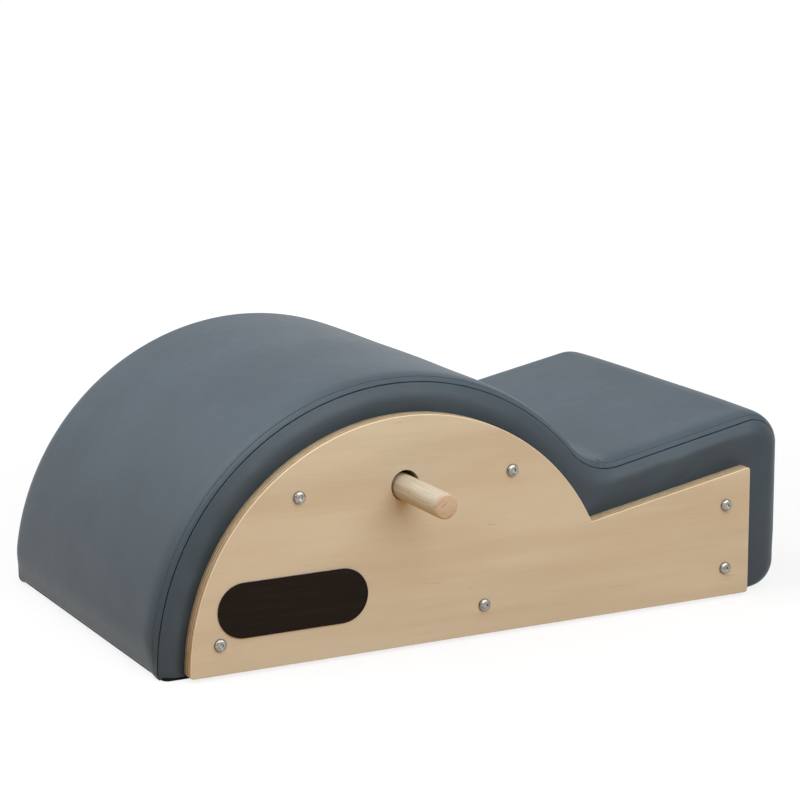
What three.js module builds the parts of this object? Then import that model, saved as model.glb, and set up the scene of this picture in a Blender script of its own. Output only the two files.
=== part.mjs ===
// Spine corrector: an upholstered barrel with a sloping seat, between two plywood side panels,
// with a loose wooden handle bar through both sides.
// Millimetres, +Z up. +X runs from the barrel to the seat, +Y from the near side to the far side.
// The origin is under the middle of the whole object, on the floor.

import * as THREE from 'three';
import { mergeVertices } from 'three/addons/utils/BufferGeometryUtils.js';

// Side panels, of birch plywood. X is measured from the foot of the near panel.
const panelLength = 750;
const panelThickness = 18;
const panelArchRadius = 275;
const panelLift = 4;
const panelHeelHeight = 160;
const panelSeatAngle = 10.3;
const panelCornerRadius = 5;
const panelEdgeEase = 1.2;

// Upholstered body, measured at the sewn seam that runs round each side of the top cover.
// The seam stands out from the panel's arch by the reveal, and the seat ends above the panel's heel.
const bodyWidth = 474;
const bodyOverhang = 52.5;
const seamSetback = 6;
const barrelAxisHeight = 8;
const seamReveal = 30;
const valleyRadius = 70;
const seatAngle = 10.9;
const seatEndRise = 64;
const crestRadius = 35;
const heelRadius = 32;
const footRadius = 8;

// How far the filled cover stands up from its seams
const shoulderRise = 8.5;
const shoulderWidth = 24;
const crownRise = 1.6;
const footFade = 50;
const boxingBulge = 1.6;

// Upholstery layers
const leatherThickness = 1.2;
const foamThickness = 30;
const baseSheetThickness = 3;
const baseSheetReach = 2;
const baseSheetSideMargin = 1;
const baseSheetCorner = 8;
const coverTuck = 25;
const barrelTuck = 50;
const seatTuck = 62;
const endTuck = 70;

// Inner frame, of plywood and pine
const ribThickness = 18;
const barrelDeckThickness = 6;
const seatDeckThickness = 12;
const endBoardThickness = 12;
const cornerLead = 10;
const endBoardRaise = 5;
const baseBoardThickness = 12;
const railWidth = 40;
const railDepth = 30;
const footRailHeight = 86;
const valleyRailLead = 40;
const seatRailInset = 110;

// Bolts, their threaded inserts and their places on each side panel
const boltDiameter = 8;
const boltLength = 40;
const headDiameter = 15;
const headHeight = 4.4;
const headRim = 0.9;
const headCrownDiameter = 8.5;
const socketWidth = 5;
const socketDepth = 2.6;
const boltHolePlay = 0.5;
const insertDiameter = 10;
const insertLength = 11;
const flangeDiameter = 22;
const flangeThickness = 1.6;
const lowBoltHeight = 36;
const footBoltX = 37;
const heelBoltInset = 35;
const heelBoltDrop = 44;
const archBoltInset = 137;
const archBoltDrop = 80;

// Handle bar and the hole that it lies in
const handleDiameter = 30;
const handleProtrusion = 100;
const handleChamfer = 2;
const handleHoleDiameter = 36;
const handleHoleDrop = 82;
const handleHoleSetback = 3;

// Plate on the near panel
const plateLength = 188;
const plateHeight = 65;
const plateThickness = 1.5;
const plateStart = 34.5;
const plateBottom = 40;

// The gap left between pieces that touch
const clearance = 0.3;

// Facets
const archSteps = 40;
const barrelSteps = 25;
const valleySteps = 6;
const roundSteps = 4;
const straightSteps = 3;
const holeSides = 12;
const handleSides = 24;
const boltSides = 12;

// Places that follow from the sizes above
const radians = THREE.MathUtils.degToRad;
const sideY = bodyWidth / 2;
const seamY = sideY - seamSetback;
const ribOuterY = sideY - leatherThickness - 2 * clearance;
const ribInnerY = ribOuterY - ribThickness;
const endX = panelLength + bodyOverhang;
const seamRadius = panelArchRadius + seamReveal;
const seatEndHeight = panelHeelHeight + seatEndRise;
const bodyFloor = baseSheetThickness + clearance;
const frameFloor = bodyFloor + leatherThickness + clearance;
const ribFloor = frameFloor + baseBoardThickness + clearance;
const barrelCentre = new THREE.Vector2(panelArchRadius, barrelAxisHeight);
const seatDirection = new THREE.Vector2(Math.cos(radians(seatAngle)), Math.sin(radians(seatAngle)));
const seatNormal = new THREE.Vector2(-seatDirection.y, seatDirection.x);
const seatEnd = new THREE.Vector2(endX, seatEndHeight);
const handleX = panelArchRadius - handleHoleSetback;
const handleHoleHeight = panelArchRadius - handleHoleDrop;
const handleRestHeight = panelLift + handleHoleHeight - (handleHoleDiameter - handleDiameter) / 2 + clearance;

// Materials

function material(color, roughness, metalness = 0) {
  return new THREE.MeshStandardMaterial({ color, roughness, metalness });
}

const paleVeneer = material(0xd0b88f, 0.45);
const framePlywood = material(0xc9ae80, 0.7);
const pine = material(0xd9bf8c, 0.75);
const leather = material(0x55646f, 0.5);
const foam = material(0xe6e0c8, 0.95);
const blackSheet = material(0x17181a, 0.9);
const stainless = material(0xc4c4c2, 0.3, 1);
const zincSteel = material(0xa9aeb2, 0.45, 1);
const ash = material(0xdcc7a4, 0.55);
const plateBlack = material(0x1c1714, 0.35);

// The seam seen from the side, as stations from the foot of the barrel to the heel of the seat.
// Each has its place, the direction out of the body, the span it lies on and its share of that span.

function offSeatLine(rise, along) {
  return seatEnd.clone().addScaledVector(seatNormal, rise).addScaledVector(seatDirection, along);
}

function crossing(radius, rise) {
  // Where a circle about the barrel's axis meets the line that lies `rise` above the seat's seam
  const start = offSeatLine(rise, 0).sub(barrelCentre);
  const half = start.dot(seatDirection);
  const along = Math.sqrt(half * half - start.lengthSq() + radius * radius) - half;
  return offSeatLine(rise, along);
}

function onBarrel(radius, angle) {
  return new THREE.Vector2(Math.cos(angle), Math.sin(angle)).multiplyScalar(radius).add(barrelCentre);
}

function angleOnBarrel(point) {
  return point.clone().sub(barrelCentre).angle();
}

function crestCentre() {
  const line = offSeatLine(-crestRadius, 0);
  const x = endX - crestRadius;
  return new THREE.Vector2(x, line.y - (line.x - x) * Math.tan(radians(seatAngle)));
}

function footCentre() {
  const z = bodyFloor + footRadius;
  const reach = seamRadius - footRadius;
  const rise = z - barrelAxisHeight;
  return new THREE.Vector2(barrelCentre.x - Math.sqrt(reach * reach - rise * rise), z);
}

function arcStations(span, centre, radius, from, to, steps, inward = false) {
  const made = [];
  for (let i = 0; i <= steps; i++) {
    const share = i / steps;
    const angle = THREE.MathUtils.lerp(from, to, share);
    const out = new THREE.Vector2(Math.cos(angle), Math.sin(angle));
    const place = centre.clone().addScaledVector(out, radius);
    made.push({ span, share, place, out: inward ? out.negate() : out });
  }
  return made;
}

function lineStations(span, from, to, out, steps) {
  const made = [];
  for (let i = 1; i < steps; i++) {
    const share = i / steps;
    made.push({ span, share, place: from.clone().lerp(to, share), out: out.clone() });
  }
  return made;
}

function seamStations() {
  const foot = footCentre();
  const footAngle = angleOnBarrel(foot);
  const valley = crossing(seamRadius + valleyRadius, valleyRadius);
  const valleyAngle = angleOnBarrel(valley);
  const seatUp = Math.PI / 2 + radians(seatAngle);
  const crest = crestCentre();
  const heel = new THREE.Vector2(endX - heelRadius, bodyFloor + heelRadius);
  const valleyEnd = valley.clone().addScaledVector(seatNormal, -valleyRadius);
  const crestStart = crest.clone().addScaledVector(seatNormal, crestRadius);
  const endTop = new THREE.Vector2(endX, crest.y);
  const endBottom = new THREE.Vector2(endX, heel.y);
  const right = new THREE.Vector2(1, 0);
  const valleyFrom = Math.PI + valleyAngle;
  const valleyTo = Math.PI + seatUp;
  return [
    ...arcStations('foot', foot, footRadius, 1.5 * Math.PI, footAngle, roundSteps).slice(0, -1),
    ...arcStations('barrel', barrelCentre, seamRadius, footAngle, valleyAngle, barrelSteps),
    ...arcStations('valley', valley, valleyRadius, valleyFrom, valleyTo, valleySteps, true).slice(1),
    ...lineStations('seat', valleyEnd, crestStart, seatNormal, straightSteps),
    ...arcStations('crest', crest, crestRadius, seatUp, 0, roundSteps),
    ...lineStations('end', endTop, endBottom, right, straightSteps),
    ...arcStations('heel', heel, heelRadius, 0, -Math.PI / 2, roundSteps),
  ];
}

const seam = seamStations();
const lastIndex = (span) => seam.findLastIndex((station) => station.span === span);
const firstIndex = (span) => seam.findIndex((station) => station.span === span);

// The same stations on an inner outline, which lies the given depths inside the seam
// and has plain corners at the valley and at the crest

function innerOutline(depths, floor) {
  const radius = seamRadius - depths.barrel;
  const valleyCorner = crossing(radius, -depths.seat);
  const cornerAngle = angleOnBarrel(valleyCorner);
  const innerEndX = endX - depths.end;
  const lineAt = (x) => offSeatLine(-depths.seat, (x - offSeatLine(-depths.seat, 0).x) / seatDirection.x);
  const crestCorner = lineAt(innerEndX);
  const valleyStartAngle = angleOnBarrel(seam[lastIndex('barrel')].place);
  const valleyEnd = seam[lastIndex('valley')].place.clone().addScaledVector(seatNormal, -depths.seat);
  const underCrest = crestCentre().addScaledVector(seatNormal, crestRadius - depths.seat);
  const crestStart = lineAt(Math.min(underCrest.x, innerEndX - cornerLead));
  const endStart = new THREE.Vector2(innerEndX, Math.min(crestCentre().y, crestCorner.y - cornerLead));
  const footX = barrelCentre.x - radius;
  return seam.map(({ span, share, place, out }) => {
    const level = Math.max(place.y, floor);
    if (span === 'foot') return new THREE.Vector2(footX, level);
    if (span === 'barrel') return onBarrel(radius, out.angle());
    if (span === 'valley' && share < 0.5) {
      return onBarrel(radius, THREE.MathUtils.lerp(valleyStartAngle, cornerAngle, 2 * share));
    }
    if (span === 'valley') return valleyCorner.clone().lerp(valleyEnd, 2 * share - 1);
    if (span === 'seat') return place.clone().addScaledVector(seatNormal, -depths.seat);
    if (span === 'crest' && share < 0.5) return crestStart.clone().lerp(crestCorner, 2 * share);
    if (span === 'crest') return crestCorner.clone().lerp(endStart, 2 * share - 1);
    return new THREE.Vector2(innerEndX, level);
  });
}

// How far the filled cover stands out from the seam, at a station and a distance in from the side seam

function swellShare(station) {
  const { span, place } = station;
  if (span === 'foot' || span === 'heel') return 0;
  const nearFoot = span === 'barrel' && place.x < barrelCentre.x;
  if (nearFoot) return THREE.MathUtils.smoothstep(place.y, 0, footFade);
  if (span === 'end') return THREE.MathUtils.smoothstep(place.y, heelRadius, footFade);
  return 1;
}

function swell(station, across) {
  const rise = Math.min(across / shoulderWidth, 1) - 1;
  const toMiddle = across / seamY - 1;
  const shoulder = shoulderRise * Math.sqrt(1 - rise * rise);
  const crown = crownRise * (1 - toMiddle * toMiddle);
  return swellShare(station) * (shoulder + crown);
}

// Solids

function facingOut(geometry) {
  const { array } = geometry.attributes.position;
  const index = geometry.index.array;
  const corner = (i) => new THREE.Vector3().fromArray(array, 3 * index[i]);
  let volume = 0;
  for (let i = 0; i < index.length; i += 3) volume += corner(i).dot(corner(i + 1).cross(corner(i + 2)));
  if (volume < 0) geometry.setIndex([...index].reverse());
  geometry.computeVertexNormals();
  return geometry;
}

function layerGeometry(outer, inner) {
  // A closed layer between two grids of points of the same size
  const rows = outer.length;
  const columns = outer[0].length;
  const positions = [...outer.flat(), ...inner.flat()].flatMap((point) => point.toArray());
  const at = (layer, row, column) => (layer * rows + row) * columns + column;
  const index = [];
  const quad = (a, b, c, d) => index.push(a, b, c, a, c, d);
  for (let i = 0; i + 1 < rows; i++) {
    for (let j = 0; j + 1 < columns; j++) {
      quad(at(0, i, j), at(0, i + 1, j), at(0, i + 1, j + 1), at(0, i, j + 1));
      quad(at(1, i, j), at(1, i, j + 1), at(1, i + 1, j + 1), at(1, i + 1, j));
    }
  }
  const lastRow = rows - 1;
  const lastColumn = columns - 1;
  for (let i = 0; i + 1 < rows; i++) {
    quad(at(0, i, 0), at(1, i, 0), at(1, i + 1, 0), at(0, i + 1, 0));
    quad(at(0, i, lastColumn), at(0, i + 1, lastColumn), at(1, i + 1, lastColumn), at(1, i, lastColumn));
  }
  for (let j = 0; j + 1 < columns; j++) {
    quad(at(0, 0, j), at(0, 0, j + 1), at(1, 0, j + 1), at(1, 0, j));
    quad(at(0, lastRow, j), at(1, lastRow, j), at(1, lastRow, j + 1), at(0, lastRow, j + 1));
  }
  const geometry = new THREE.BufferGeometry();
  geometry.setAttribute('position', new THREE.Float32BufferAttribute(positions, 3));
  geometry.setIndex(index);
  return facingOut(geometry);
}

function welded(geometry) {
  // Shares the vertices, and leaves out the slivers that a turned profile has on its axis
  geometry.deleteAttribute('normal');
  geometry.deleteAttribute('uv');
  const merged = mergeVertices(geometry);
  const index = merged.index.array;
  const kept = [];
  for (let i = 0; i < index.length; i += 3) {
    const corners = [index[i], index[i + 1], index[i + 2]];
    if (new Set(corners).size === corners.length) kept.push(...corners);
  }
  merged.setIndex(kept);
  return facingOut(merged);
}

const assembly = new THREE.Group();

function addPiece(name, geometry, finish) {
  const mesh = new THREE.Mesh(geometry, finish);
  mesh.name = name;
  assembly.add(mesh);
  return mesh;
}

function addBoard(name, outline, fromY, toY, finish, holes = [], ease = 0) {
  // A board cut to an outline seen from the side, standing from one Y to the other
  const shape = new THREE.Shape(outline);
  shape.holes = holes;
  const geometry = new THREE.ExtrudeGeometry(shape, {
    depth: toY - fromY - 2 * ease,
    bevelEnabled: ease > 0,
    bevelThickness: ease,
    bevelSize: ease,
    bevelOffset: -ease,
    bevelSegments: 1,
    curveSegments: roundSteps,
  });
  const mesh = addPiece(name, welded(geometry), finish);
  mesh.rotation.x = Math.PI / 2;
  mesh.position.y = toY - ease;
  return mesh;
}

function roundHole(x, z, diameter, sides) {
  const points = [];
  for (let i = 0; i < sides; i++) {
    const angle = (2 * Math.PI * i) / sides;
    const reach = new THREE.Vector2(Math.cos(angle), Math.sin(angle)).multiplyScalar(diameter / 2);
    points.push(reach.add({ x, y: z }));
  }
  return new THREE.Path(points);
}

// Bolt places, shared by the panels, the ribs, the bolts and their inserts

const heelBoltX = panelLength - heelBoltInset;
const heelBoltHeight = panelHeelHeight - heelBoltDrop;
const archBoltOffset = panelArchRadius - archBoltInset;
const archBoltHeight = panelArchRadius - archBoltDrop;
const boltPlaces = {
  foot: [footBoltX, lowBoltHeight],
  middle: [(footBoltX + heelBoltX) / 2, lowBoltHeight],
  heel_low: [heelBoltX, lowBoltHeight],
  heel_high: [heelBoltX, heelBoltHeight],
  arch_front: [panelArchRadius - archBoltOffset, archBoltHeight],
  arch_rear: [panelArchRadius + archBoltOffset, archBoltHeight],
};

function sideHoles(boltHoleDiameter) {
  const boltHole = ([x, z]) => roundHole(x, z + panelLift, boltHoleDiameter, holeSides);
  const holes = Object.values(boltPlaces).map(boltHole);
  return [...holes, roundHole(handleX, handleHoleHeight + panelLift, handleHoleDiameter, handleSides)];
}

// Side panels: a half round arch, a plain notch, then a straight edge that climbs to the heel

function panelOutline() {
  const slope = Math.tan(radians(panelSeatAngle));
  const heightAt = (x) => panelHeelHeight - (panelLength - x) * slope;
  const offset = heightAt(panelArchRadius);
  const a = 1 + slope * slope;
  const b = slope * offset;
  const fromAxis = (Math.sqrt(b * b - a * (offset * offset - panelArchRadius * panelArchRadius)) - b) / a;
  const notch = new THREE.Vector2(panelArchRadius + fromAxis, heightAt(panelArchRadius + fromAxis));
  const notchAngle = Math.atan2(notch.y, fromAxis);
  const shape = new THREE.Shape();
  const startAngle = Math.PI - panelCornerRadius / panelArchRadius;
  const round = (x, z, fromX, fromZ, toX, toZ) => {
    shape.lineTo(fromX, fromZ);
    shape.quadraticCurveTo(x, z, toX, toZ);
  };
  shape.moveTo(panelCornerRadius, 0);
  const onArch = (angle) => [panelArchRadius * (1 + Math.cos(angle)), panelArchRadius * Math.sin(angle)];
  shape.quadraticCurveTo(0, 0, ...onArch(startAngle));
  for (let i = 1; i <= archSteps; i++) {
    shape.lineTo(...onArch(THREE.MathUtils.lerp(startAngle, notchAngle, i / archSteps)));
  }
  const before = panelLength - panelCornerRadius;
  const below = panelHeelHeight - panelCornerRadius;
  round(panelLength, panelHeelHeight, before, heightAt(before), panelLength, below);
  round(panelLength, 0, panelLength, panelCornerRadius, before, 0);
  return shape.getPoints(roundSteps).map((point) => new THREE.Vector2(point.x, point.y + panelLift));
}

const panelHoles = () => sideHoles(boltDiameter + 2 * boltHolePlay);
const panelFront = sideY + panelThickness;
addBoard('near_side_panel', panelOutline(), -panelFront, -sideY, paleVeneer, panelHoles(), panelEdgeEase);
addBoard('far_side_panel', panelOutline(), sideY, panelFront, paleVeneer, panelHoles(), panelEdgeEase);

// Inner frame: two ribs on a base board, tied by rails, under a bent deck, a seat deck and an end board

const barrelDeckDepth = foamThickness + clearance;
const ribDepths = {
  barrel: barrelDeckDepth + barrelDeckThickness + clearance,
  seat: barrelDeckDepth + seatDeckThickness + clearance,
  end: foamThickness + endBoardThickness + 2 * clearance,
};

function ribOutline() {
  const outline = innerOutline(ribDepths, ribFloor).filter((point) => point.y > ribFloor);
  const first = new THREE.Vector2(outline[0].x, ribFloor);
  const last = new THREE.Vector2(outline.at(-1).x, ribFloor);
  return [first, ...outline, last];
}

const ribHoles = () => sideHoles(insertDiameter + 2 * clearance);
addBoard('near_rib', ribOutline(), -ribOuterY, -ribInnerY, framePlywood, ribHoles());
addBoard('far_rib', ribOutline(), ribInnerY, ribOuterY, framePlywood, ribHoles());

const frameStartX = barrelCentre.x - seamRadius + ribDepths.barrel;
const frameEndX = endX - ribDepths.end;

function rectangle(x0, z0, x1, z1) {
  return [[x0, z0], [x1, z0], [x1, z1], [x0, z1]].map(([x, z]) => new THREE.Vector2(x, z));
}

const baseBoard = rectangle(frameStartX + clearance, frameFloor, frameEndX, frameFloor + baseBoardThickness);
addBoard('base_board', baseBoard, -ribOuterY, ribOuterY, framePlywood);

const deckNotch = crossing(seamRadius - barrelDeckDepth, -barrelDeckDepth);

function barrelDeckOutline() {
  // The bent deck follows the barrel from the frame's floor to the notch over the seat deck
  const faces = [barrelDeckDepth, barrelDeckDepth + barrelDeckThickness].map((depth) => {
    const depths = { barrel: depth, seat: barrelDeckDepth, end: barrelDeckDepth };
    return innerOutline(depths, frameFloor).slice(0, lastIndex('barrel') + 1 + valleySteps / 2);
  });
  return [...faces[0], ...faces[1].reverse()];
}

addBoard('barrel_deck', barrelDeckOutline(), -ribOuterY, ribOuterY, framePlywood);

const seatLineAt = (rise, x) => offSeatLine(rise, (x - offSeatLine(rise, 0).x) / seatDirection.x);
const deckEndX = endX - foamThickness - clearance;
const deckTop = -barrelDeckDepth;
const deckUnder = deckTop - seatDeckThickness;
const seatDeck = [
  seatLineAt(deckTop, deckNotch.x + clearance),
  seatLineAt(deckUnder, deckNotch.x + clearance),
  seatLineAt(deckUnder, deckEndX),
  seatLineAt(deckTop, deckEndX),
];
addBoard('seat_deck', seatDeck, -ribOuterY, ribOuterY, framePlywood);

const endBoardInnerX = deckEndX - endBoardThickness;
const endBoard = [
  new THREE.Vector2(endBoardInnerX, frameFloor + endBoardRaise),
  new THREE.Vector2(deckEndX, frameFloor + endBoardRaise),
  seatLineAt(deckUnder - clearance, deckEndX),
  seatLineAt(deckUnder - clearance, endBoardInnerX),
];
addBoard('end_board', endBoard, -ribOuterY, ribOuterY, framePlywood);

const railReach = ribInnerY - clearance;

function addRail(name, place, tilt) {
  // A rail between the ribs, its wide face turned up by the tilt, with `place` at the middle of that face
  const along = new THREE.Vector2(Math.cos(tilt), Math.sin(tilt)).multiplyScalar(railWidth / 2);
  const down = new THREE.Vector2(Math.sin(tilt), -Math.cos(tilt)).multiplyScalar(railDepth);
  const outline = [
    place.clone().sub(along),
    place.clone().sub(along).add(down),
    place.clone().add(along).add(down),
    place.clone().add(along),
  ];
  addBoard(name, outline, -railReach, railReach, pine);
}

const railTopRadius = Math.sqrt((seamRadius - ribDepths.barrel - clearance) ** 2 - (railWidth / 2) ** 2);
const barrelRailAngles = {
  foot_rail: Math.PI - Math.asin((footRailHeight - barrelAxisHeight) / railTopRadius),
  crown_rail: Math.PI / 2,
  valley_rail: angleOnBarrel(deckNotch) + valleyRailLead / railTopRadius,
};
for (const [name, angle] of Object.entries(barrelRailAngles)) {
  addRail(name, onBarrel(railTopRadius, angle), angle - Math.PI / 2);
}
addRail('seat_rail', seatLineAt(-ribDepths.seat, panelLength - seatRailInset), radians(seatAngle));
const heelRailTop = new THREE.Vector2(endBoardInnerX - clearance, ribFloor + railWidth / 2);
addRail('heel_rail', heelRailTop, -Math.PI / 2);

// Upholstery: grids of points, along the seam's stations and across from the near side to the far side

const coverDepth = leatherThickness + clearance;
const shoulderShares = [0, 0.15, 0.45, 1];
const middleShares = [0.4, 1];

function acrossPlaces(shares) {
  const onShoulder = shares.map((share) => share * shoulderWidth);
  const onTop = middleShares.map((share) => THREE.MathUtils.lerp(shoulderWidth, seamY, share));
  const near = [...onShoulder, ...onTop].map((distance) => ({ distance, y: distance - seamY }));
  const far = near.slice(0, -1).reverse().map(({ distance, y }) => ({ distance, y: -y }));
  return [...near, ...far];
}

function skinRow(station, across, depth, edgeY) {
  return across.map(({ distance, y }) => {
    const place = station.place.clone().addScaledVector(station.out, swell(station, distance) - depth);
    return new THREE.Vector3(place.x, THREE.MathUtils.clamp(y, -edgeY, edgeY), place.y);
  });
}

const coverAcross = acrossPlaces(shoulderShares);

// Foam: three slabs glued to the decks, with the crowned form of the filled cushion

const foamEdgeY = seamY - coverDepth;
const foamDepths = { barrel: foamThickness, seat: foamThickness, end: foamThickness };
const foamRoots = innerOutline(foamDepths, frameFloor);
const foamOuter = seam.map((station) => skinRow(station, coverAcross, coverDepth, foamEdgeY));
const foamInner = foamRoots.map((root, i) => {
  // The slab widens from the seam to the ribs' faces, but not where the heel leaves it thin
  const depth = root.distanceTo(seam[i].place);
  const share = THREE.MathUtils.smoothstep(depth, foamThickness / 3, foamThickness);
  const edgeY = THREE.MathUtils.lerp(foamEdgeY, ribOuterY, share);
  return coverAcross.map(({ y }) => new THREE.Vector3(root.x, (y / seamY) * edgeY, root.y));
});

function rowsOf(grid, first, last, gap) {
  // A slab's rows, with the first drawn back from the slab before it
  const rows = grid.slice(first, last + 1);
  if (!gap) return rows;
  const drawn = rows[0].map((point, j) => point.clone().lerp(rows[1][j], gap / point.distanceTo(rows[1][j])));
  return [drawn, ...rows.slice(1)];
}

const slabs = {
  barrel_foam: [0, lastIndex('barrel'), 0],
  seat_foam: [lastIndex('barrel'), firstIndex('crest'), clearance],
  end_foam: [firstIndex('crest'), lastIndex('heel') - 1, clearance],
};
for (const [name, [first, last, gap]] of Object.entries(slabs)) {
  const outer = rowsOf(foamOuter, first, last, gap);
  const inner = rowsOf(foamInner, first, last, gap);
  addPiece(name, layerGeometry(outer, inner), foam);
}

// Top cover: one leather panel from under the foot to under the heel

function tucked(station, along) {
  return { ...station, place: station.place.clone().add({ x: along, y: 0 }) };
}

const coverStations = [tucked(seam[0], coverTuck), ...seam, tucked(seam.at(-1), -coverTuck)];
const coverRows = (depth) => coverStations.map((station) => skinRow(station, coverAcross, depth, seamY));
addPiece('top_cover', layerGeometry(coverRows(0), coverRows(leatherThickness)), leather);

// Side boxings: leather strips from the seam, bulging over the foam, to under the side panel

const boxingDepths = { barrel: barrelTuck, seat: seatTuck, end: endTuck };
const boxingRoots = innerOutline(boxingDepths, frameFloor);
const boxingRowShares = [0, 0.14, 0.35, 0.58, 1];
const boxingOutShares = [0, 0.66, 1];

function boxingY(row) {
  const peak = sideY + boxingBulge;
  if (row < boxingOutShares.length) return THREE.MathUtils.lerp(seamY, peak, boxingOutShares[row]);
  return sideY - clearance;
}

function boxingRows(side, depth) {
  return seam.map((station, i) => boxingRowShares.map((share, row) => {
    const top = station.place.clone().addScaledVector(station.out, -coverDepth);
    const place = top.lerp(boxingRoots[i], share);
    return new THREE.Vector3(place.x, side * (boxingY(row) - depth), place.y);
  }));
}

for (const [name, side] of [['near_boxing', -1], ['far_boxing', 1]]) {
  addPiece(name, layerGeometry(boxingRows(side, 0), boxingRows(side, leatherThickness)), leather);
}

// Base sheet: black non-slip felt over the whole underside, which the body stands on

function roundedRectangle(x0, y0, x1, y1, radius) {
  const shape = new THREE.Shape();
  shape.absarc(x1 - radius, y1 - radius, radius, 0, Math.PI / 2);
  shape.absarc(x0 + radius, y1 - radius, radius, Math.PI / 2, Math.PI);
  shape.absarc(x0 + radius, y0 + radius, radius, Math.PI, 1.5 * Math.PI);
  shape.absarc(x1 - radius, y0 + radius, radius, 1.5 * Math.PI, 2 * Math.PI);
  return shape;
}

const sheetStart = seam[0].place.x - baseSheetReach;
const sheetEnd = seam.at(-1).place.x + baseSheetReach;
const sheetY = sideY - baseSheetSideMargin;
const sheetShape = roundedRectangle(sheetStart, -sheetY, sheetEnd, sheetY, baseSheetCorner);
const sheetCut = { depth: baseSheetThickness, bevelEnabled: false, curveSegments: roundSteps };
addPiece('base_sheet', welded(new THREE.ExtrudeGeometry(sheetShape, sheetCut)), blackSheet);

// Turned pieces: a profile of radius and height, turned about Y

function turned(profile, sides) {
  return welded(new THREE.LatheGeometry(profile.map(([r, y]) => new THREE.Vector2(r, y)), sides));
}

function buttonHeadBolt() {
  const shank = boltDiameter / 2;
  const rim = headDiameter / 2;
  const crown = headCrownDiameter / 2;
  const socketCorner = socketWidth / Math.sqrt(3);
  const dome = [1, 2].map((step) => {
    const angle = (step * Math.PI) / 6;
    return [crown + (rim - crown) * Math.cos(angle), headRim + (headHeight - headRim) * Math.sin(angle)];
  });
  const geometry = turned([
    [0, -boltLength],
    [shank, -boltLength],
    [shank, 0],
    [rim, 0],
    [rim, headRim],
    ...dome,
    [crown, headHeight],
    [socketCorner, headHeight],
    [socketCorner, headHeight - socketDepth],
    [0, headHeight - socketDepth],
  ], boltSides);
  return hexSocket(geometry, socketCorner);
}

function hexSocket(geometry, corner) {
  // Draws every second point of the socket's rim in to the flats, which makes its circle a hexagon
  const { position } = geometry.attributes;
  const point = new THREE.Vector3();
  for (let i = 0; i < position.count; i++) {
    point.fromBufferAttribute(position, i);
    const onRim = Math.hypot(point.x, point.z).toFixed(2) === corner.toFixed(2);
    const step = Math.round((Math.atan2(point.z, point.x) * boltSides) / (2 * Math.PI));
    if (!onRim || step % 2 === 0) continue;
    const flatShare = Math.cos(Math.PI / 6);
    position.setXYZ(i, point.x * flatShare, point.y, point.z * flatShare);
  }
  return geometry;
}

function threadedInsert() {
  const bore = boltDiameter / 2 + clearance;
  return turned([
    [bore, -flangeThickness],
    [flangeDiameter / 2, -flangeThickness],
    [flangeDiameter / 2, 0],
    [insertDiameter / 2, 0],
    [insertDiameter / 2, insertLength],
    [bore, insertLength],
    [bore, -flangeThickness],
  ], boltSides);
}

for (const [side, direction] of [['near', -1], ['far', 1]]) {
  for (const [place, [x, z]] of Object.entries(boltPlaces)) {
    const bolt = addPiece(`${side}_bolt_${place}`, buttonHeadBolt(), stainless);
    const insert = addPiece(`${side}_insert_${place}`, threadedInsert(), zincSteel);
    bolt.position.set(x, direction * (panelFront + clearance), z + panelLift);
    insert.position.set(x, direction * (ribInnerY - clearance), z + panelLift);
    if (direction < 0) {
      bolt.rotation.x = Math.PI;
      insert.rotation.x = Math.PI;
    }
  }
}

// Handle bar: a loose dowel that lies in the bottom of its holes

const handleReach = panelFront + handleProtrusion;
const handleRadius = handleDiameter / 2;
const handle = addPiece('handle_bar', turned([
  [0, -handleReach],
  [handleRadius - handleChamfer, -handleReach],
  [handleRadius, handleChamfer - handleReach],
  [handleRadius, handleReach - handleChamfer],
  [handleRadius - handleChamfer, handleReach],
  [0, handleReach],
], handleSides), ash);
handle.position.set(handleX, 0, handleRestHeight);

// Name plate: a bare plate with round ends

function plateOutline() {
  const radius = plateHeight / 2;
  const middle = plateBottom + panelLift + radius;
  const shape = new THREE.Shape();
  shape.absarc(plateStart + radius, middle, radius, Math.PI / 2, 1.5 * Math.PI);
  shape.absarc(plateStart + plateLength - radius, middle, radius, 1.5 * Math.PI, 2.5 * Math.PI);
  return shape.getPoints(holeSides);
}

const plateBack = panelFront + clearance;
addBoard('name_plate', plateOutline(), -plateBack - plateThickness, -plateBack, plateBlack);

// The origin goes under the middle of the whole object

const bounds = new THREE.Box3().setFromObject(assembly);
assembly.position.x = -(bounds.min.x + bounds.max.x) / 2;

export default assembly;
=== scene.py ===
# Spine corrector: an upholstered barrel with a sloping seat between two plywood side panels, and a
# loose wooden bar through both sides. Sizes are in metres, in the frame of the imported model: +X from
# the barrel to the seat, +Y from the near side to the far side, +Z up, with the floor at 0.

import math

import bmesh
import bpy
import numpy as np
from mathutils import Matrix, Vector


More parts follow.
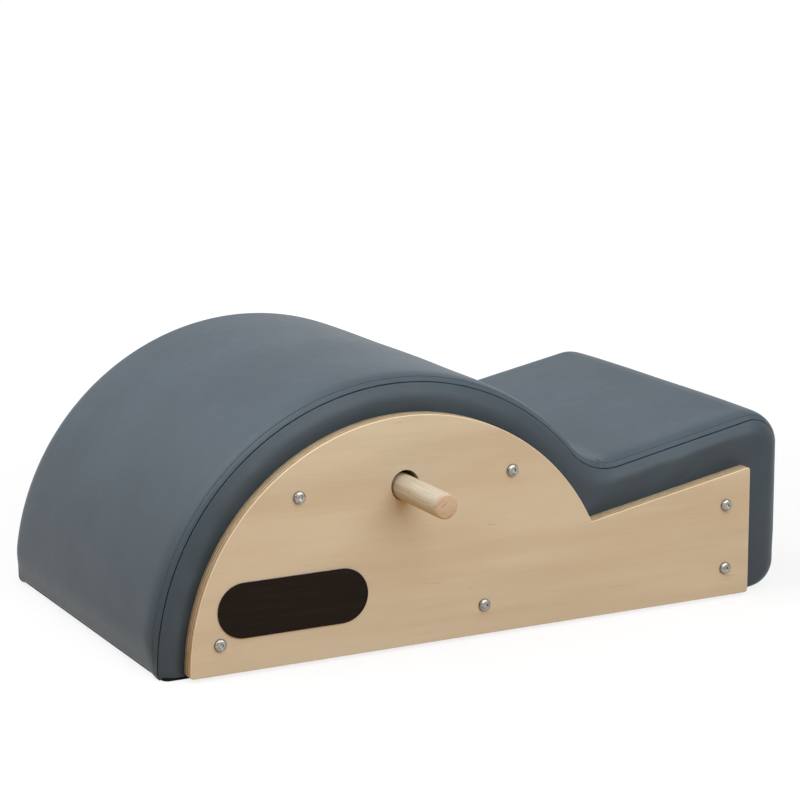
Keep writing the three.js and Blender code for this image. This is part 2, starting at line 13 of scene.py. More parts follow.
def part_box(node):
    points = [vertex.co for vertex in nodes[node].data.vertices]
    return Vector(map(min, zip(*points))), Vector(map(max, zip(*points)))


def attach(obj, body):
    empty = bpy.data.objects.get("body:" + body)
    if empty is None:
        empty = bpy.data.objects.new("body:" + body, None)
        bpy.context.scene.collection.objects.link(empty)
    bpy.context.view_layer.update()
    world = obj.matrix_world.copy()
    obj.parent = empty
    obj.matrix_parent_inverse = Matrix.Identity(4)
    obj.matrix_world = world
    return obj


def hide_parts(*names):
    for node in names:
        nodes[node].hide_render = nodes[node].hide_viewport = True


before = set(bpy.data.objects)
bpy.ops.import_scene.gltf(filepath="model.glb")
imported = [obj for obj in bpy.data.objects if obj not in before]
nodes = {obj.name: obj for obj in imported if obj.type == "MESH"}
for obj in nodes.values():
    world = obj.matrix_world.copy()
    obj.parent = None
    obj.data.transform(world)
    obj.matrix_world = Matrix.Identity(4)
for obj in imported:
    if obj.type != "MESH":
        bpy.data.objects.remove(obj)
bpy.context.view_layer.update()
panel_low, panel_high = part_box("near_side_panel")

# Camera: a long lens about three metres away, at hip height, in front of the near side and towards
# the barrel's end. Its target is measured from the near panel's lower corner.

CAMERA_AZIMUTH = math.radians(-27.2706)
CAMERA_ELEVATION = math.radians(12.2663)
CAMERA_ROLL = math.radians(-0.2353)
CAMERA_TARGET = Vector((0.26540, 0, 0.29418))
CAMERA_DISTANCE = 3.11647
SENSOR_WIDTH_MM = 36
FOCAL_SHARE = 3.415668


def new_object(name, data):
    """An object in the scene that holds a mesh, a curve, a lamp or a camera."""
    made = bpy.data.objects.new(name, data)
    bpy.context.scene.collection.objects.link(made)
    return made


def aimed(azimuth, elevation, roll, target, distance):
    """The matrix of a camera that looks at the target from a distance."""
    level = math.cos(elevation)
    back = Vector((math.sin(azimuth) * level, -math.cos(azimuth) * level, math.sin(elevation)))
    right = Vector((math.cos(azimuth), math.sin(azimuth), 0))
    turned_right = Matrix.Rotation(roll, 3, back) @ right
    matrix = Matrix((turned_right, back.cross(turned_right), back)).transposed().to_4x4()
    matrix.translation = target + back * distance
    return matrix


camera = new_object("camera", bpy.data.cameras.new("camera"))
bpy.context.scene.camera = camera
camera.data.sensor_width = SENSOR_WIDTH_MM
camera.data.lens = FOCAL_SHARE * SENSOR_WIDTH_MM
camera.matrix_world = aimed(
    CAMERA_AZIMUTH, CAMERA_ELEVATION, CAMERA_ROLL, panel_low + CAMERA_TARGET, CAMERA_DISTANCE
)

# Inner frame: two plywood ribs on a base board, a bent deck, a seat deck and an end board, tied by
# pine rails. All of it is raw wood, glued and stapled, and closed in by the upholstery.

PLYWOOD_BOARDS = ("near_rib", "far_rib", "base_board", "barrel_deck", "seat_deck", "end_board")
PINE_RAILS = ("foot_rail", "crown_rail", "valley_rail", "seat_rail", "heel_rail")
RAW_PLYWOOD_PALE = (0.62, 0.46, 0.27, 1)
RAW_PLYWOOD_DARK = (0.47, 0.31, 0.16, 1)
PINE_PALE = (0.70, 0.50, 0.27, 1)
PINE_DARK = (0.52, 0.31, 0.13, 1)
RAW_WOOD_LOOKS = {"figure": 0.7, "roughness": 0.75, "depth": 0.0002}
NOISE_SPREAD = (0.3, 0.7)
FIGURE_SPREAD = (0.35, 0.68)
FIBRE_SPREAD = (0.3, 0.75)
FLECK_SPREAD = (0.70, 0.80)
PATCH_STRENGTH = 0.4


def feed(tree, node, inputs):
    """Feeds each named input of a node from a socket or with a value."""
    for name, value in inputs.items():
        if isinstance(value, bpy.types.NodeSocket):
            tree.links.new(value, node.inputs[name])
        else:
            node.inputs[name].default_value = value


def placed(tree, kind, inputs=None, **settings):
    """Adds a node with its settings and its inputs."""
    made = tree.nodes.new(kind)
    for name, value in settings.items():
        setattr(made, name, value)
    feed(tree, made, inputs or {})
    return made


def sum_of(tree, operation, first, second=0.0):
    """The result of a sum on two values or sockets."""
    return placed(tree, "ShaderNodeMath", {0: first, 1: second}, operation=operation).outputs[0]


def blended(tree, share, first, second):
    """A colour between two colours."""
    colours = {0: share, 6: first, 7: second}
    return placed(tree, "ShaderNodeMix", colours, data_type="RGBA").outputs[2]


def ranged(tree, value, low, high, to_low=0.0, to_high=1.0):
    """A value carried smoothly from one range to another, and held at its ends."""
    limits = {"From Min": low, "From Max": high, "To Min": to_low, "To Max": to_high}
    kind = "ShaderNodeMapRange"
    made = placed(tree, kind, {"Value": value, **limits}, interpolation_type="SMOOTHSTEP")
    return made.outputs["Result"]


def noise(tree, place, scale, detail=2.0, roughness=0.5, stretch=(1, 1, 1)):
    """Noise with a number of lumps to the metre, drawn out along the axes by the stretch."""
    factors = tuple(scale / amount for amount in stretch)
    spread = placed(tree, "ShaderNodeVectorMath", {0: place, 1: factors}, operation="MULTIPLY")
    inputs = {"Vector": spread.outputs[0], "Scale": 1.0, "Detail": detail, "Roughness": roughness}
    return placed(tree, "ShaderNodeTexNoise", inputs).outputs["Fac"]


def patchy(tree, pattern, first, second):
    """Two colours in soft patches, as a noise pattern has them."""
    return blended(tree, ranged(tree, pattern, *NOISE_SPREAD), first, second)


def shader_group(name, inputs, outputs):
    """An empty node group with named inputs and outputs. Returns it with its two ends."""
    group = bpy.data.node_groups.new(name, "ShaderNodeTree")
    for socket_name, kind, value in inputs:
        socket = group.interface.new_socket(socket_name, in_out="INPUT", socket_type=kind)
        if value is not None:
            socket.default_value = value
    for socket_name, kind in outputs:
        group.interface.new_socket(socket_name, in_out="OUTPUT", socket_type=kind)
    return group, group.nodes.new("NodeGroupInput").outputs, group.nodes.new("NodeGroupOutput")


def in_material(tree, group, inputs):
    """A shader group placed in a material with its own values."""
    return placed(tree, "ShaderNodeGroup", inputs, node_tree=group)


def wood_grain_group():
    """Long grain: broad figure, fine fibres and a few dark flecks, all drawn out along X."""
    group, given, result = shader_group(
        "wood_grain",
        [
            ("Place", "NodeSocketVector", None),
            ("Pale Colour", "NodeSocketColor", PINE_PALE),
            ("Dark Colour", "NodeSocketColor", PINE_DARK),
            ("Figure", "NodeSocketFloat", 0.5),
            ("Fibre", "NodeSocketFloat", 0.5),
            ("Flecks", "NodeSocketFloat", 0.3),
        ],
        [("Colour", "NodeSocketColor"), ("Height", "NodeSocketFloat")],
    )
    place = given["Place"]
    figure = noise(group, place, scale=30, detail=4, roughness=0.55, stretch=(14, 1, 1))
    patches = noise(group, place, scale=8, detail=3, stretch=(3, 1, 1))
    fibre = noise(group, place, scale=900, detail=3, roughness=0.6, stretch=(40, 1, 1))
    flecks = ranged(group, noise(group, place, scale=260, stretch=(9, 1, 1)), *FLECK_SPREAD)
    broad = sum_of(group, "MULTIPLY", ranged(group, figure, *FIGURE_SPREAD), given["Figure"])
    soft = sum_of(group, "MULTIPLY", ranged(group, patches, *NOISE_SPREAD), PATCH_STRENGTH)
    fine = sum_of(group, "MULTIPLY", ranged(group, fibre, *FIBRE_SPREAD), given["Fibre"])
    dots = sum_of(group, "MULTIPLY", flecks, given["Flecks"])
    lines = sum_of(group, "ADD", sum_of(group, "ADD", broad, soft), fine)
    share = sum_of(group, "MINIMUM", sum_of(group, "ADD", lines, dots), 1.0)
    colour = blended(group, share, given["Pale Colour"], given["Dark Colour"])
    height = sum_of(group, "SUBTRACT", fibre, flecks)
    feed(group, result, {"Colour": colour, "Height": height})
    return group


WOOD_GRAIN = wood_grain_group()


def new_material(name):
    """A material with a plain surface shader. Returns it with its node tree and the shader."""
    material = bpy.data.materials.new(name)
    material.use_nodes = True
    return material, material.node_tree, material.node_tree.nodes["Principled BSDF"]


def own_place(tree, turn=(0, 0, 0)):
    """The place on the piece itself, turned so that the grain runs along X."""
    place = placed(tree, "ShaderNodeTexCoord").outputs["Object"]
    turned = {"Vector": place, "Rotation": tuple(math.radians(angle) for angle in turn)}
    return placed(tree, "ShaderNodeMapping", turned).outputs["Vector"]


def add_bumps(tree, shader, height, depth):
    """Gives the shader a normal from a height, which is worth a depth in metres."""
    bump = placed(tree, "ShaderNodeBump", {"Height": height, "Distance": depth})
    tree.links.new(bump.outputs["Normal"], shader.inputs["Normal"])


def wood(name, pale, dark, figure, roughness, depth, fibre=0.5, flecks=0.3, turn=(0, 0, 0)):
    """Wood with its grain in two tones. The depth of its fibres is in metres."""
    material, tree, shader = new_material(name)
    strength = {"Figure": figure, "Fibre": fibre, "Flecks": flecks}
    looks = {"Pale Colour": pale, "Dark Colour": dark, **strength}
    grain = in_material(tree, WOOD_GRAIN, {"Place": own_place(tree, turn), **looks})
    feed(tree, shader, {"Base Color": grain.outputs["Colour"], "Roughness": roughness})
    add_bumps(tree, shader, grain.outputs["Height"], depth)
    return material


raw_plywood = wood("raw_plywood", RAW_PLYWOOD_PALE, RAW_PLYWOOD_DARK, **RAW_WOOD_LOOKS)
raw_pine = wood("raw_pine", PINE_PALE, PINE_DARK, **RAW_WOOD_LOOKS, turn=(0, 0, 90))
for name in PLYWOOD_BOARDS:
    nodes[name].material_slots[0].material = raw_plywood
for name in PINE_RAILS:
    nodes[name].material_slots[0].material = raw_pine

# Seam: the top cover and the side boxings are sewn together along one line on each side. It runs
# over the foot, the barrel, the valley, the seat and the end, and all the upholstery hangs on it.

BARREL_AXIS_X = 0.275
BARREL_AXIS_HEIGHT = 0.008
SEAM_RADIUS = 0.305
VALLEY_RADIUS = 0.070
SEAT_ANGLE = math.radians(10.9)
SEAT_END_HEIGHT = 0.224
END_OVERHANG = 0.0525
CREST_RADIUS = 0.035
HEEL_RADIUS = 0.032
FOOT_RADIUS = 0.008
COVER_FLOOR = 0.0033
SEAM_STEP = 0.004
ROUND_STEP = 0.0012
VALLEY_STEP = 0.0007

barrel_centre = np.array([panel_low.x + BARREL_AXIS_X, BARREL_AXIS_HEIGHT])
end_x = panel_high.x + END_OVERHANG
seat_end = np.array([end_x, SEAT_END_HEIGHT])
seat_direction = np.array([math.cos(SEAT_ANGLE), math.sin(SEAT_ANGLE)])
seat_normal = np.array([-seat_direction[1], seat_direction[0]])
seam_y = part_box("top_cover")[1].y


def off_seat_line(rise, along):
    """A place a rise above the seat's seam, and a way along it from the end."""
    return seat_end + seat_normal * rise + seat_direction * along


def crossing(radius, rise):
    """Where a circle about the barrel's axis meets the line a rise above the seat's seam."""
    start = off_seat_line(rise, 0) - barrel_centre
    half = start @ seat_direction
    return off_seat_line(rise, math.sqrt(half * half - start @ start + radius * radius) - half)


def angle_on_barrel(place):
    return math.atan2(place[1] - barrel_centre[1], place[0] - barrel_centre[0])


def pointing(angle):
    """Steps of length 1 in the directions of some angles."""
    return np.stack([np.cos(angle), np.sin(angle)], -1)


def on_barrel(radius, angle):
    return barrel_centre + radius * pointing(angle)


def arc(span, centre, radius, start, stop, step=ROUND_STEP, inward=False):
    """Stations on an arc: each has its span, its share of it, its place and its way out."""
    count = round(abs(stop - start) * radius / step)
    share = np.linspace(0, 1, count + 1)
    out = pointing(start + (stop - start) * share)
    place = centre + radius * out
    return [(span, s, p, -o if inward else o) for s, p, o in zip(share, place, out)]


def line(span, start, stop, out):
    """Stations on a straight stretch, without its two ends."""
    count = round(np.linalg.norm(stop - start) / SEAM_STEP)
    share = np.linspace(0, 1, count + 1)[1:-1]
    return [(span, s, start + (stop - start) * s, out) for s in share]


def crest_centre():
    below = off_seat_line(-CREST_RADIUS, 0)
    x = end_x - CREST_RADIUS
    return np.array([x, below[1] - (below[0] - x) * math.tan(SEAT_ANGLE)])


def foot_centre():
    reach = SEAM_RADIUS - FOOT_RADIUS
    z = COVER_FLOOR + FOOT_RADIUS
    return np.array([barrel_centre[0] - math.sqrt(reach**2 - (z - BARREL_AXIS_HEIGHT) ** 2), z])


def seam_stations():
    """The whole seam from the underside of the foot to the underside of the heel."""
    foot, crest = foot_centre(), crest_centre()
    foot_angle = angle_on_barrel(foot) % (2 * math.pi)
    valley = crossing(SEAM_RADIUS + VALLEY_RADIUS, VALLEY_RADIUS)
    valley_angle = angle_on_barrel(valley)
    seat_up = math.pi / 2 + SEAT_ANGLE
    heel = np.array([end_x - HEEL_RADIUS, COVER_FLOOR + HEEL_RADIUS])
    valley_end = valley - seat_normal * VALLEY_RADIUS
    crest_start = crest + seat_normal * CREST_RADIUS
    end_top, end_bottom = np.array([end_x, crest[1]]), np.array([end_x, heel[1]])
    barrel = (barrel_centre, SEAM_RADIUS, foot_angle, valley_angle)
    hollow = (valley, VALLEY_RADIUS, math.pi + valley_angle, math.pi + seat_up)
    return [
        *arc("foot", foot, FOOT_RADIUS, 1.5 * math.pi, foot_angle)[:-1],
        *arc("barrel", *barrel, step=SEAM_STEP),
        *arc("valley", *hollow, step=VALLEY_STEP, inward=True)[1:],
        *line("seat", valley_end, crest_start, seat_normal),
        *arc("crest", crest, CREST_RADIUS, seat_up, 0),
        *line("end", end_top, end_bottom, np.array([1.0, 0.0])),
        *arc("heel", heel, HEEL_RADIUS, 0, -math.pi / 2),
    ]


def run_along(path):
    """How far along a path each of its points lies."""
    return np.concatenate([[0], np.cumsum(np.linalg.norm(np.diff(path, axis=0), axis=1))])


spans, shares, seam, outs = (np.array(column) for column in zip(*seam_stations()))
lengths = run_along(seam)


def length_at(span, share):
    """How far along the seam a share of a span is reached."""
    return lengths[np.flatnonzero((spans == span) & (shares >= share))[0]]


def inside_line(barrel_depth, seat_depth, end_depth, floor):
    """For each station its place on a line inside the seam, with plain corners at valley and crest."""
    radius = SEAM_RADIUS - barrel_depth
    foot_x = barrel_centre[0] - radius
    low_end_x = end_x - end_depth
    valley_corner = crossing(radius, -seat_depth)
    on_line = off_seat_line(-seat_depth, 0)
    rise = (low_end_x - on_line[0]) * math.tan(SEAT_ANGLE)
    crest_corner = np.array([low_end_x, on_line[1] + rise])
    valley_middle, crest_middle = length_at("valley", 0.5), length_at("crest", 0.5)
    start_angle = angle_on_barrel(seam[spans == "barrel"][-1])
    corner_angle = angle_on_barrel(valley_corner)
    made = []
    for span, share, place, out, length in zip(spans, shares, seam, outs, lengths):
        if span == "foot":
            made.append(np.array([foot_x, max(place[1], floor)]))
        elif span == "barrel":
            made.append(on_barrel(radius, math.atan2(out[1], out[0])))
        elif length < valley_middle:
            made.append(on_barrel(radius, start_angle + (corner_angle - start_angle) * 2 * share))
        elif length < crest_middle:
            along = (length - valley_middle) / (crest_middle - valley_middle)
            made.append(valley_corner + (crest_corner - valley_corner) * along)
        else:
            down = (length - crest_middle) / (lengths[-1] - crest_middle)
            made.append(crest_corner + (np.array([low_end_x, floor]) - crest_corner) * down)
    return np.array(made)


# Foam: three slabs glued to the decks, with a crowned top that gives the cushion its form. They
# meet with butt joints at the valley and at the seat's end, and stop just inside the side seams.

SHOULDER_RISE = 0.0088
SHOULDER_WIDTH = 0.036
SHOULDER_POWER = 4.0
CROWN_RISE = 0.0016
FOOT_FADE = 0.050
END_FADE_START = 0.020
END_FADE = 0.075
FOAM_THICKNESS = 0.030
FOAM_FLOOR = 0.0048
FOAM_SIDE_SETBACK = 0.003
FOAM_ROWS_DROPPED = 12
UNDER_LEATHER = 0.0015
BUTT_GAP = 0.0003
FOAM_SHOULDER_COLUMNS = 9
FOAM_MIDDLE_COLUMNS = 7
FOAM_CELL_DEPTH = 0.0006
FOAM_CREAM = (0.78, 0.72, 0.55, 1)
FOAM_SHADE = (0.66, 0.58, 0.40, 1)


def smoothstep(value, low, high):
    share = np.clip((value - low) / (high - low), 0, 1)
    return share * share * (3 - 2 * share)


def swell_shares():
    """How much of the full swell each station has: none where the cushion turns under."""
    level = seam[:, 1]
    share = np.ones(len(seam))
    at_foot = (spans == "barrel") & (seam[:, 0] < barrel_centre[0])
    at_end = (spans == "end") | (spans == "heel")
    share[at_foot] = smoothstep(level, 0, FOOT_FADE)[at_foot]
    share[at_end] = smoothstep(level, END_FADE_START, END_FADE)[at_end]
    share[spans == "foot"] = share[spans == "barrel"][0] * shares[spans == "foot"]
    return share[:, None]


def swell(inset):
    """How far the cushion stands up from its seam, a distance in from that seam."""
    left = 1 - np.minimum(inset / SHOULDER_WIDTH, 1)
    shoulder = SHOULDER_RISE * (1 - left**SHOULDER_POWER)
    crown = CROWN_RISE * (1 - (inset / seam_y - 1) ** 2)
    return shoulder + crown


def off_seam(rise, y):
    """A grid of points, rows along the seam and columns across, at a rise out from the seam."""
    return np.stack([seam[:, :1] + outs[:, :1] * rise, y, seam[:, 1:] + outs[:, 1:] * rise], -1)


def both_sides(near):
    """A near half of a grid with its mirror image on the far side, sharing the middle column."""
    far = near[:, -2::-1] * np.array([1, -1, 1])
    return np.concatenate([near, far], 1)


def mesh_object(name, points, faces, material):
    """A smooth piece from its points and faces, turned the right way out."""
    mesh = bpy.data.meshes.new(name)
    mesh.from_pydata(points.tolist(), [], faces)
    mesh.materials.append(material)
    shape = bmesh.new()
    shape.from_mesh(mesh)
    bmesh.ops.recalc_face_normals(shape, faces=shape.faces)
    shape.to_mesh(mesh)
    shape.free()
    mesh.polygons.foreach_set("use_smooth", [True] * len(mesh.polygons))
    return new_object(name, mesh)


def grid_faces(index):
    """The faces between neighbouring rows and columns of a grid of point numbers."""
    corners = [index[:-1, :-1], index[1:, :-1], index[1:, 1:], index[:-1, 1:]]
    return np.stack(corners, -1).reshape(-1, 4).tolist()


def slab_object(name, outer, inner, material):
    """A closed slab between two grids of points of the same size."""
    rows, columns = outer.shape[:2]
    top = np.arange(rows * columns).reshape(rows, columns)
    under = top + rows * columns
    faces = grid_faces(top) + grid_faces(under)
    for edge in (0, -1):
        faces += grid_faces(np.stack([top[:, edge], under[:, edge]], 1))
        faces += grid_faces(np.stack([top[edge], under[edge]], 1))
    points = np.concatenate([outer.reshape(-1, 3), inner.reshape(-1, 3)])
    return mesh_object(name, points, faces, material)


def foam_material():
    """Open cell foam: a cream colour that yellows in patches, with fine holes all over."""
    material, tree, shader = new_material("cream_foam")
    place = own_place(tree)
    colour = patchy(tree, noise(tree, place, scale=8, detail=3), FOAM_CREAM, FOAM_SHADE)
    cells = placed(tree, "ShaderNodeTexVoronoi", {"Vector": place, "Scale": 900.0})
    feed(tree, shader, {"Base Color": colour, "Roughness": 0.95})
    add_bumps(tree, shader, cells.outputs["Distance"], FOAM_CELL_DEPTH)
    return material


def foam_grids():
    """The outer and inner faces of the foam over the whole length."""
    turn = np.linspace(0, math.pi / 2, FOAM_SHOULDER_COLUMNS)
    shoulder = SHOULDER_WIDTH * (1 - np.cos(turn))
    middle = np.linspace(SHOULDER_WIDTH, seam_y, FOAM_MIDDLE_COLUMNS)[1:]
    inset = np.concatenate([shoulder + FOAM_SIDE_SETBACK, middle])
    y = inset - seam_y + np.zeros((len(seam), 1))
    outer = both_sides(off_seam(swell_shares() * swell(inset) - UNDER_LEATHER, y))
    roots = inside_line(FOAM_THICKNESS, FOAM_THICKNESS, FOAM_THICKNESS, FOAM_FLOOR)
    inner = np.broadcast_to(roots[:, None, :], (len(seam), outer.shape[1], 2))
    return outer, np.stack([inner[..., 0], outer[..., 1], inner[..., 1]], -1)


foam = foam_material()
foam_outer, foam_inner = foam_grids()
valley_row = np.flatnonzero(spans == "valley")[0] - 1
crest_row = np.flatnonzero(spans == "crest")[0]
slab_rows = {
    "barrel_foam": (0, valley_row),
    "seat_foam": (valley_row, crest_row),
    "end_foam": (crest_row, len(seam) - FOAM_ROWS_DROPPED),
}
for name, (first, last) in slab_rows.items():
    outer = foam_outer[first : last + 1].copy()
    inner = foam_inner[first : last + 1].copy()
    for grid in (outer, inner):
        step = grid[1] - grid[0]
        length = np.linalg.norm(step, axis=-1, keepdims=True)
        grid[0] += step * BUTT_GAP / np.maximum(length, BUTT_GAP)
    slab = slab_object(f"{name}_slab", outer, inner, foam)
    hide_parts(name)
    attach(slab, "body")

# Top cover: one panel of smooth blue grey upholstery leather, pulled tight over the foam and sewn to
# the boxings. It rises from its seams in a soft shoulder, is topstitched beside them, and droops a
# little at the foot's corners. Its ends are tucked under the foot and the heel.

LEATHER_THICKNESS = 0.0012
COVER_TUCK = 0.025
GROOVE_HALF_WIDTH = 0.00045
GROOVE_DEPTH = 0.0036
LIP_RADIUS = 0.0011
LIP_POINTS = 6
SHOULDER_COLUMNS = 13
MIDDLE_COLUMNS = 15
STITCH_INSET = 0.0070
STITCH_DIP = 0.00020
STITCH_DIP_WIDTH = 0.0009
STITCH_COLUMNS = (-1.6, -0.8, 0, 0.8, 1.6)
STITCH_CLEAR = 2
PUCKER_HEIGHT = 0.00015
PUCKER_LENGTH = 0.014
PUCKER_SEED = 5
SLACK_HEIGHT = 0.0004
SLACK_LENGTH = 0.17
SLACK_START = (0.01, 0.06)
SLACK_SEED = 7
WAVE_SPREAD = (0.7, 1.6)
WAVE_COUNT = 12
PLEAT_COLUMN_STEP = 0.0007
PLEAT_COLUMNS_END = 0.0100
PLEAT_SHARE = 0.64
PLEAT_LEAN = 0.12
PLEAT_DEPTH = 0.0014
PLEAT_WIDTH = 0.0010
PLEAT_BULGE = 0.0024
PLEAT_BULGE_WIDTH = 0.0065
PLEAT_WALL = (-0.0003, 0.0007)
PLEAT_FADE = (0.0014, 0.0030)
PLEAT_FADE_OUT = (0.009, 0.018)
DROOP = 0.0042
DROOP_FADE = (0.200, 0.228)
DROOP_FRONT = (0.002, 0.005)
DROOP_RISE = 0.020
LEATHER_PALE = (0.040, 0.061, 0.081, 1)
LEATHER_DARK = (0.033, 0.051, 0.068, 1)
LEATHER_ROUGHNESS = 0.46
LEATHER_SPECULAR = 0.30
LEATHER_GRAIN_DEPTH = 0.00006
PORE_SHARE = 0.5
RUBBED_CHANGE = 0.10


def waves(along, across, length, seed):
    """Gentle bumps of about one length, the same on every run."""
    chance = np.random.default_rng(seed)
    total = np.zeros(np.broadcast(along, across).shape)
    for _ in range(WAVE_COUNT):
        turn = chance.uniform(0, 2 * math.pi)
        pitch = length * chance.uniform(*WAVE_SPREAD)
        way = along * math.cos(turn) + across * math.sin(turn)
        total += np.sin(2 * math.pi * way / pitch + chance.uniform(0, 2 * math.pi))
    return total / math.sqrt(WAVE_COUNT)


def groove_lip():
    """From the bottom of the seam's groove over its rounded lip: the way along and the drop."""
    turn = np.linspace(0, math.pi / 2, LIP_POINTS)
    along = GROOVE_HALF_WIDTH + LIP_RADIUS * (1 - np.cos(turn))
    drop = LIP_RADIUS * (1 - np.sin(turn))
    slant = math.sqrt(0.5)
    return np.append(along[:1], along) * slant, np.append(GROOVE_DEPTH, drop) * slant


def cover_insets():
    """How far each column of a half lies in, with close ones at the seam and at the stitching."""
    lip = groove_lip()[0]
    close = np.arange(lip[-1] + PLEAT_COLUMN_STEP, PLEAT_COLUMNS_END, PLEAT_COLUMN_STEP)
    shoulder = np.append(close, np.linspace(PLEAT_COLUMNS_END, SHOULDER_WIDTH, SHOULDER_COLUMNS))
    stitching = STITCH_INSET + STITCH_DIP_WIDTH * np.array(STITCH_COLUMNS)
    middle = np.linspace(SHOULDER_WIDTH, seam_y, MIDDLE_COLUMNS)[1:]
    clear = shoulder[np.abs(shoulder - STITCH_INSET) > STITCH_CLEAR * STITCH_DIP_WIDTH]
    return np.concatenate([lip, np.sort(np.concatenate([clear, stitching])), middle])


def pleat(along, inset):
    """The small pleat that the near seam pinches in the valley: a crease with a bulge beside it."""
    across = along - length_at("valley", PLEAT_SHARE) - PLEAT_LEAN * inset
    crease = PLEAT_DEPTH * np.exp(-((across / PLEAT_WIDTH) ** 2))
    bulge = PLEAT_BULGE * np.exp(-((across / PLEAT_BULGE_WIDTH) ** 2)) * smoothstep(across, *PLEAT_WALL)
    return (bulge - crease) * smoothstep(inset, *PLEAT_FADE) * (1 - smoothstep(inset, *PLEAT_FADE_OUT))


def droop(points):
    """Lets the foot's edge hang to the floor near its two corners."""
    foot_x = foot_centre()[0]
    corner = smoothstep(np.abs(points[..., 1]), *DROOP_FADE)
    front = smoothstep(foot_x - points[..., 0], *DROOP_FRONT)
    low = 1 - smoothstep(points[..., 2], COVER_FLOOR, COVER_FLOOR + DROOP_RISE)
    dropped = points.copy()
    dropped[..., 2] -= DROOP * corner * front * low
    return dropped


def cover_half(side):
    """The cover's outer face on one side, from the bottom of the seam's groove to the middle."""
    inset = cover_insets()
    along = lengths[:, None]
    y = side * (seam_y - inset)[None, :]
    drop = np.zeros(len(inset))
    drop[: len(groove_lip()[1])] = groove_lip()[1]
    dip = STITCH_DIP * np.exp(-(((inset - STITCH_INSET) / STITCH_DIP_WIDTH) ** 2))
    creases = waves(along, 2 * y, PUCKER_LENGTH, PUCKER_SEED)
    puckers = PUCKER_HEIGHT * creases * np.exp(-inset / STITCH_INSET)
    hollows = waves(along, y, SLACK_LENGTH, SLACK_SEED)
    slack = SLACK_HEIGHT * hollows * smoothstep(inset, *SLACK_START)
    rise = swell_shares() * (swell(inset) + puckers + slack) - drop - dip
    if side < 0:
        rise = rise + pleat(along, inset)
    return off_seam(rise, y - side * drop + np.zeros((len(seam), 1)))


def tucked(grid, tuck):
    """Carries the first row on under the foot, and the last row on under the heel."""
    first, last = grid[:1] + np.array([tuck, 0, 0]), grid[-1:] - np.array([tuck, 0, 0])
    return np.concatenate([first, grid, last])


def worked_mesh(piece):
    """A new mesh with the piece's modifiers or its curve settings worked in."""
    bpy.context.view_layer.update()
    worked = piece.evaluated_get(bpy.context.evaluated_depsgraph_get())
    return bpy.data.meshes.new_from_object(worked)


def skin_object(name, grid, material):
    """A piece of leather from the grid of its outer face, with its thickness inwards."""
    index = np.arange(grid[..., 0].size).reshape(grid.shape[:2])
    piece = mesh_object(name, grid.reshape(-1, 3), grid_faces(index), material)
    solidify = piece.modifiers.new("thickness", "SOLIDIFY")
    solidify.thickness = LEATHER_THICKNESS
    skin = piece.data
    piece.data = worked_mesh(piece)
    piece.modifiers.clear()
    bpy.data.meshes.remove(skin)
    return piece


def leather_grain_group():
    """Embossed leather: a fine pebbled grain, slow changes of tone, and rubbed patches."""
    group, given, result = shader_group(
        "leather_grain",
        [
            ("Place", "NodeSocketVector", None),
            ("Pale Colour", "NodeSocketColor", LEATHER_PALE),
            ("Dark Colour", "NodeSocketColor", LEATHER_DARK),
            ("Roughness", "NodeSocketFloat", LEATHER_ROUGHNESS),
        ],
        [
            ("Colour", "NodeSocketColor"),
            ("Roughness", "NodeSocketFloat"),
            ("Height", "NodeSocketFloat"),
        ],
    )
    place = given["Place"]
    pebble = {"Vector": place, "Scale": 900.0, "Randomness": 0.9}
    pebbles = placed(group, "ShaderNodeTexVoronoi", pebble, feature="SMOOTH_F1").outputs["Distance"]
    pores = sum_of(group, "MULTIPLY", noise(group, place, scale=2200, detail=3), PORE_SHARE)
    rubbed = sum_of(group, "SUBTRACT", noise(group, place, scale=60, detail=4, roughness=0.6), 0.5)
    uneven = sum_of(group, "MULTIPLY", rubbed, RUBBED_CHANGE)
    tone = noise(group, place, scale=9, detail=3)
    colour = patchy(group, tone, given["Pale Colour"], given["Dark Colour"])
    roughness = sum_of(group, "ADD", given["Roughness"], uneven)
    height = sum_of(group, "ADD", pebbles, pores)
    feed(group, result, {"Colour": colour, "Roughness": roughness, "Height": height})
    return group


LEATHER_GRAIN = leather_grain_group()


def leather_material(name):
    """Smooth upholstery leather with a soft sheen."""
    material, tree, shader = new_material(name)
    grain = in_material(tree, LEATHER_GRAIN, {"Place": own_place(tree)})
    looks = {"Base Color": grain.outputs["Colour"], "Roughness": grain.outputs["Roughness"]}
    feed(tree, shader, {**looks, "Specular IOR Level": LEATHER_SPECULAR})
    add_bumps(tree, shader, grain.outputs["Height"], LEATHER_GRAIN_DEPTH)
    return material


leather = leather_material("blue_grey_leather")
near_half, far_half = cover_half(-1), cover_half(1)
cover_grid = droop(np.concatenate([near_half, far_half[:, -2::-1]], 1))
cover = skin_object("top_cover_leather", tucked(cover_grid, COVER_TUCK), leather)
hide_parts("top_cover")
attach(cover, "body")

# Topstitching: a row of short stitches in the top cover beside each side seam, in thread of the
# leather's colour, pulled down into the leather at both ends of every stitch. The leather in the
# needle holes is painted dark, as painted shade.

STITCH_PITCH = 0.0030
STITCH_LENGTH = 0.0017
STITCH_WIDTH = 0.0007
NEEDLE_HOLE_RISE = 0.00035
NEEDLE_HOLE_RADIUS = 0.0008
THREAD_PALE = (0.105, 0.145, 0.175, 1)
THREAD_DARK = (0.07, 0.10, 0.125, 1)
# Needle hole colours: painted shade, darker than the leather round them.
HOLE_SHADE_DARK = (0.010, 0.015, 0.020, 1)
HOLE_SHADE_EDGE = (0.020, 0.029, 0.038, 1)
STITCH_BUMP = 0.0001
BEAD_PROFILE = ((-0.5, 0.2), (-0.36, 0.8), (0, 1), (0.36, 0.8), (0.5, 0.2))
BEAD_SIDES = 6
BEAD_RISE = 0.4
BEAD_SINK = 0.15
HOLE_PROFILE = ((0.5, 1), (1, 0), (0.5, -1))


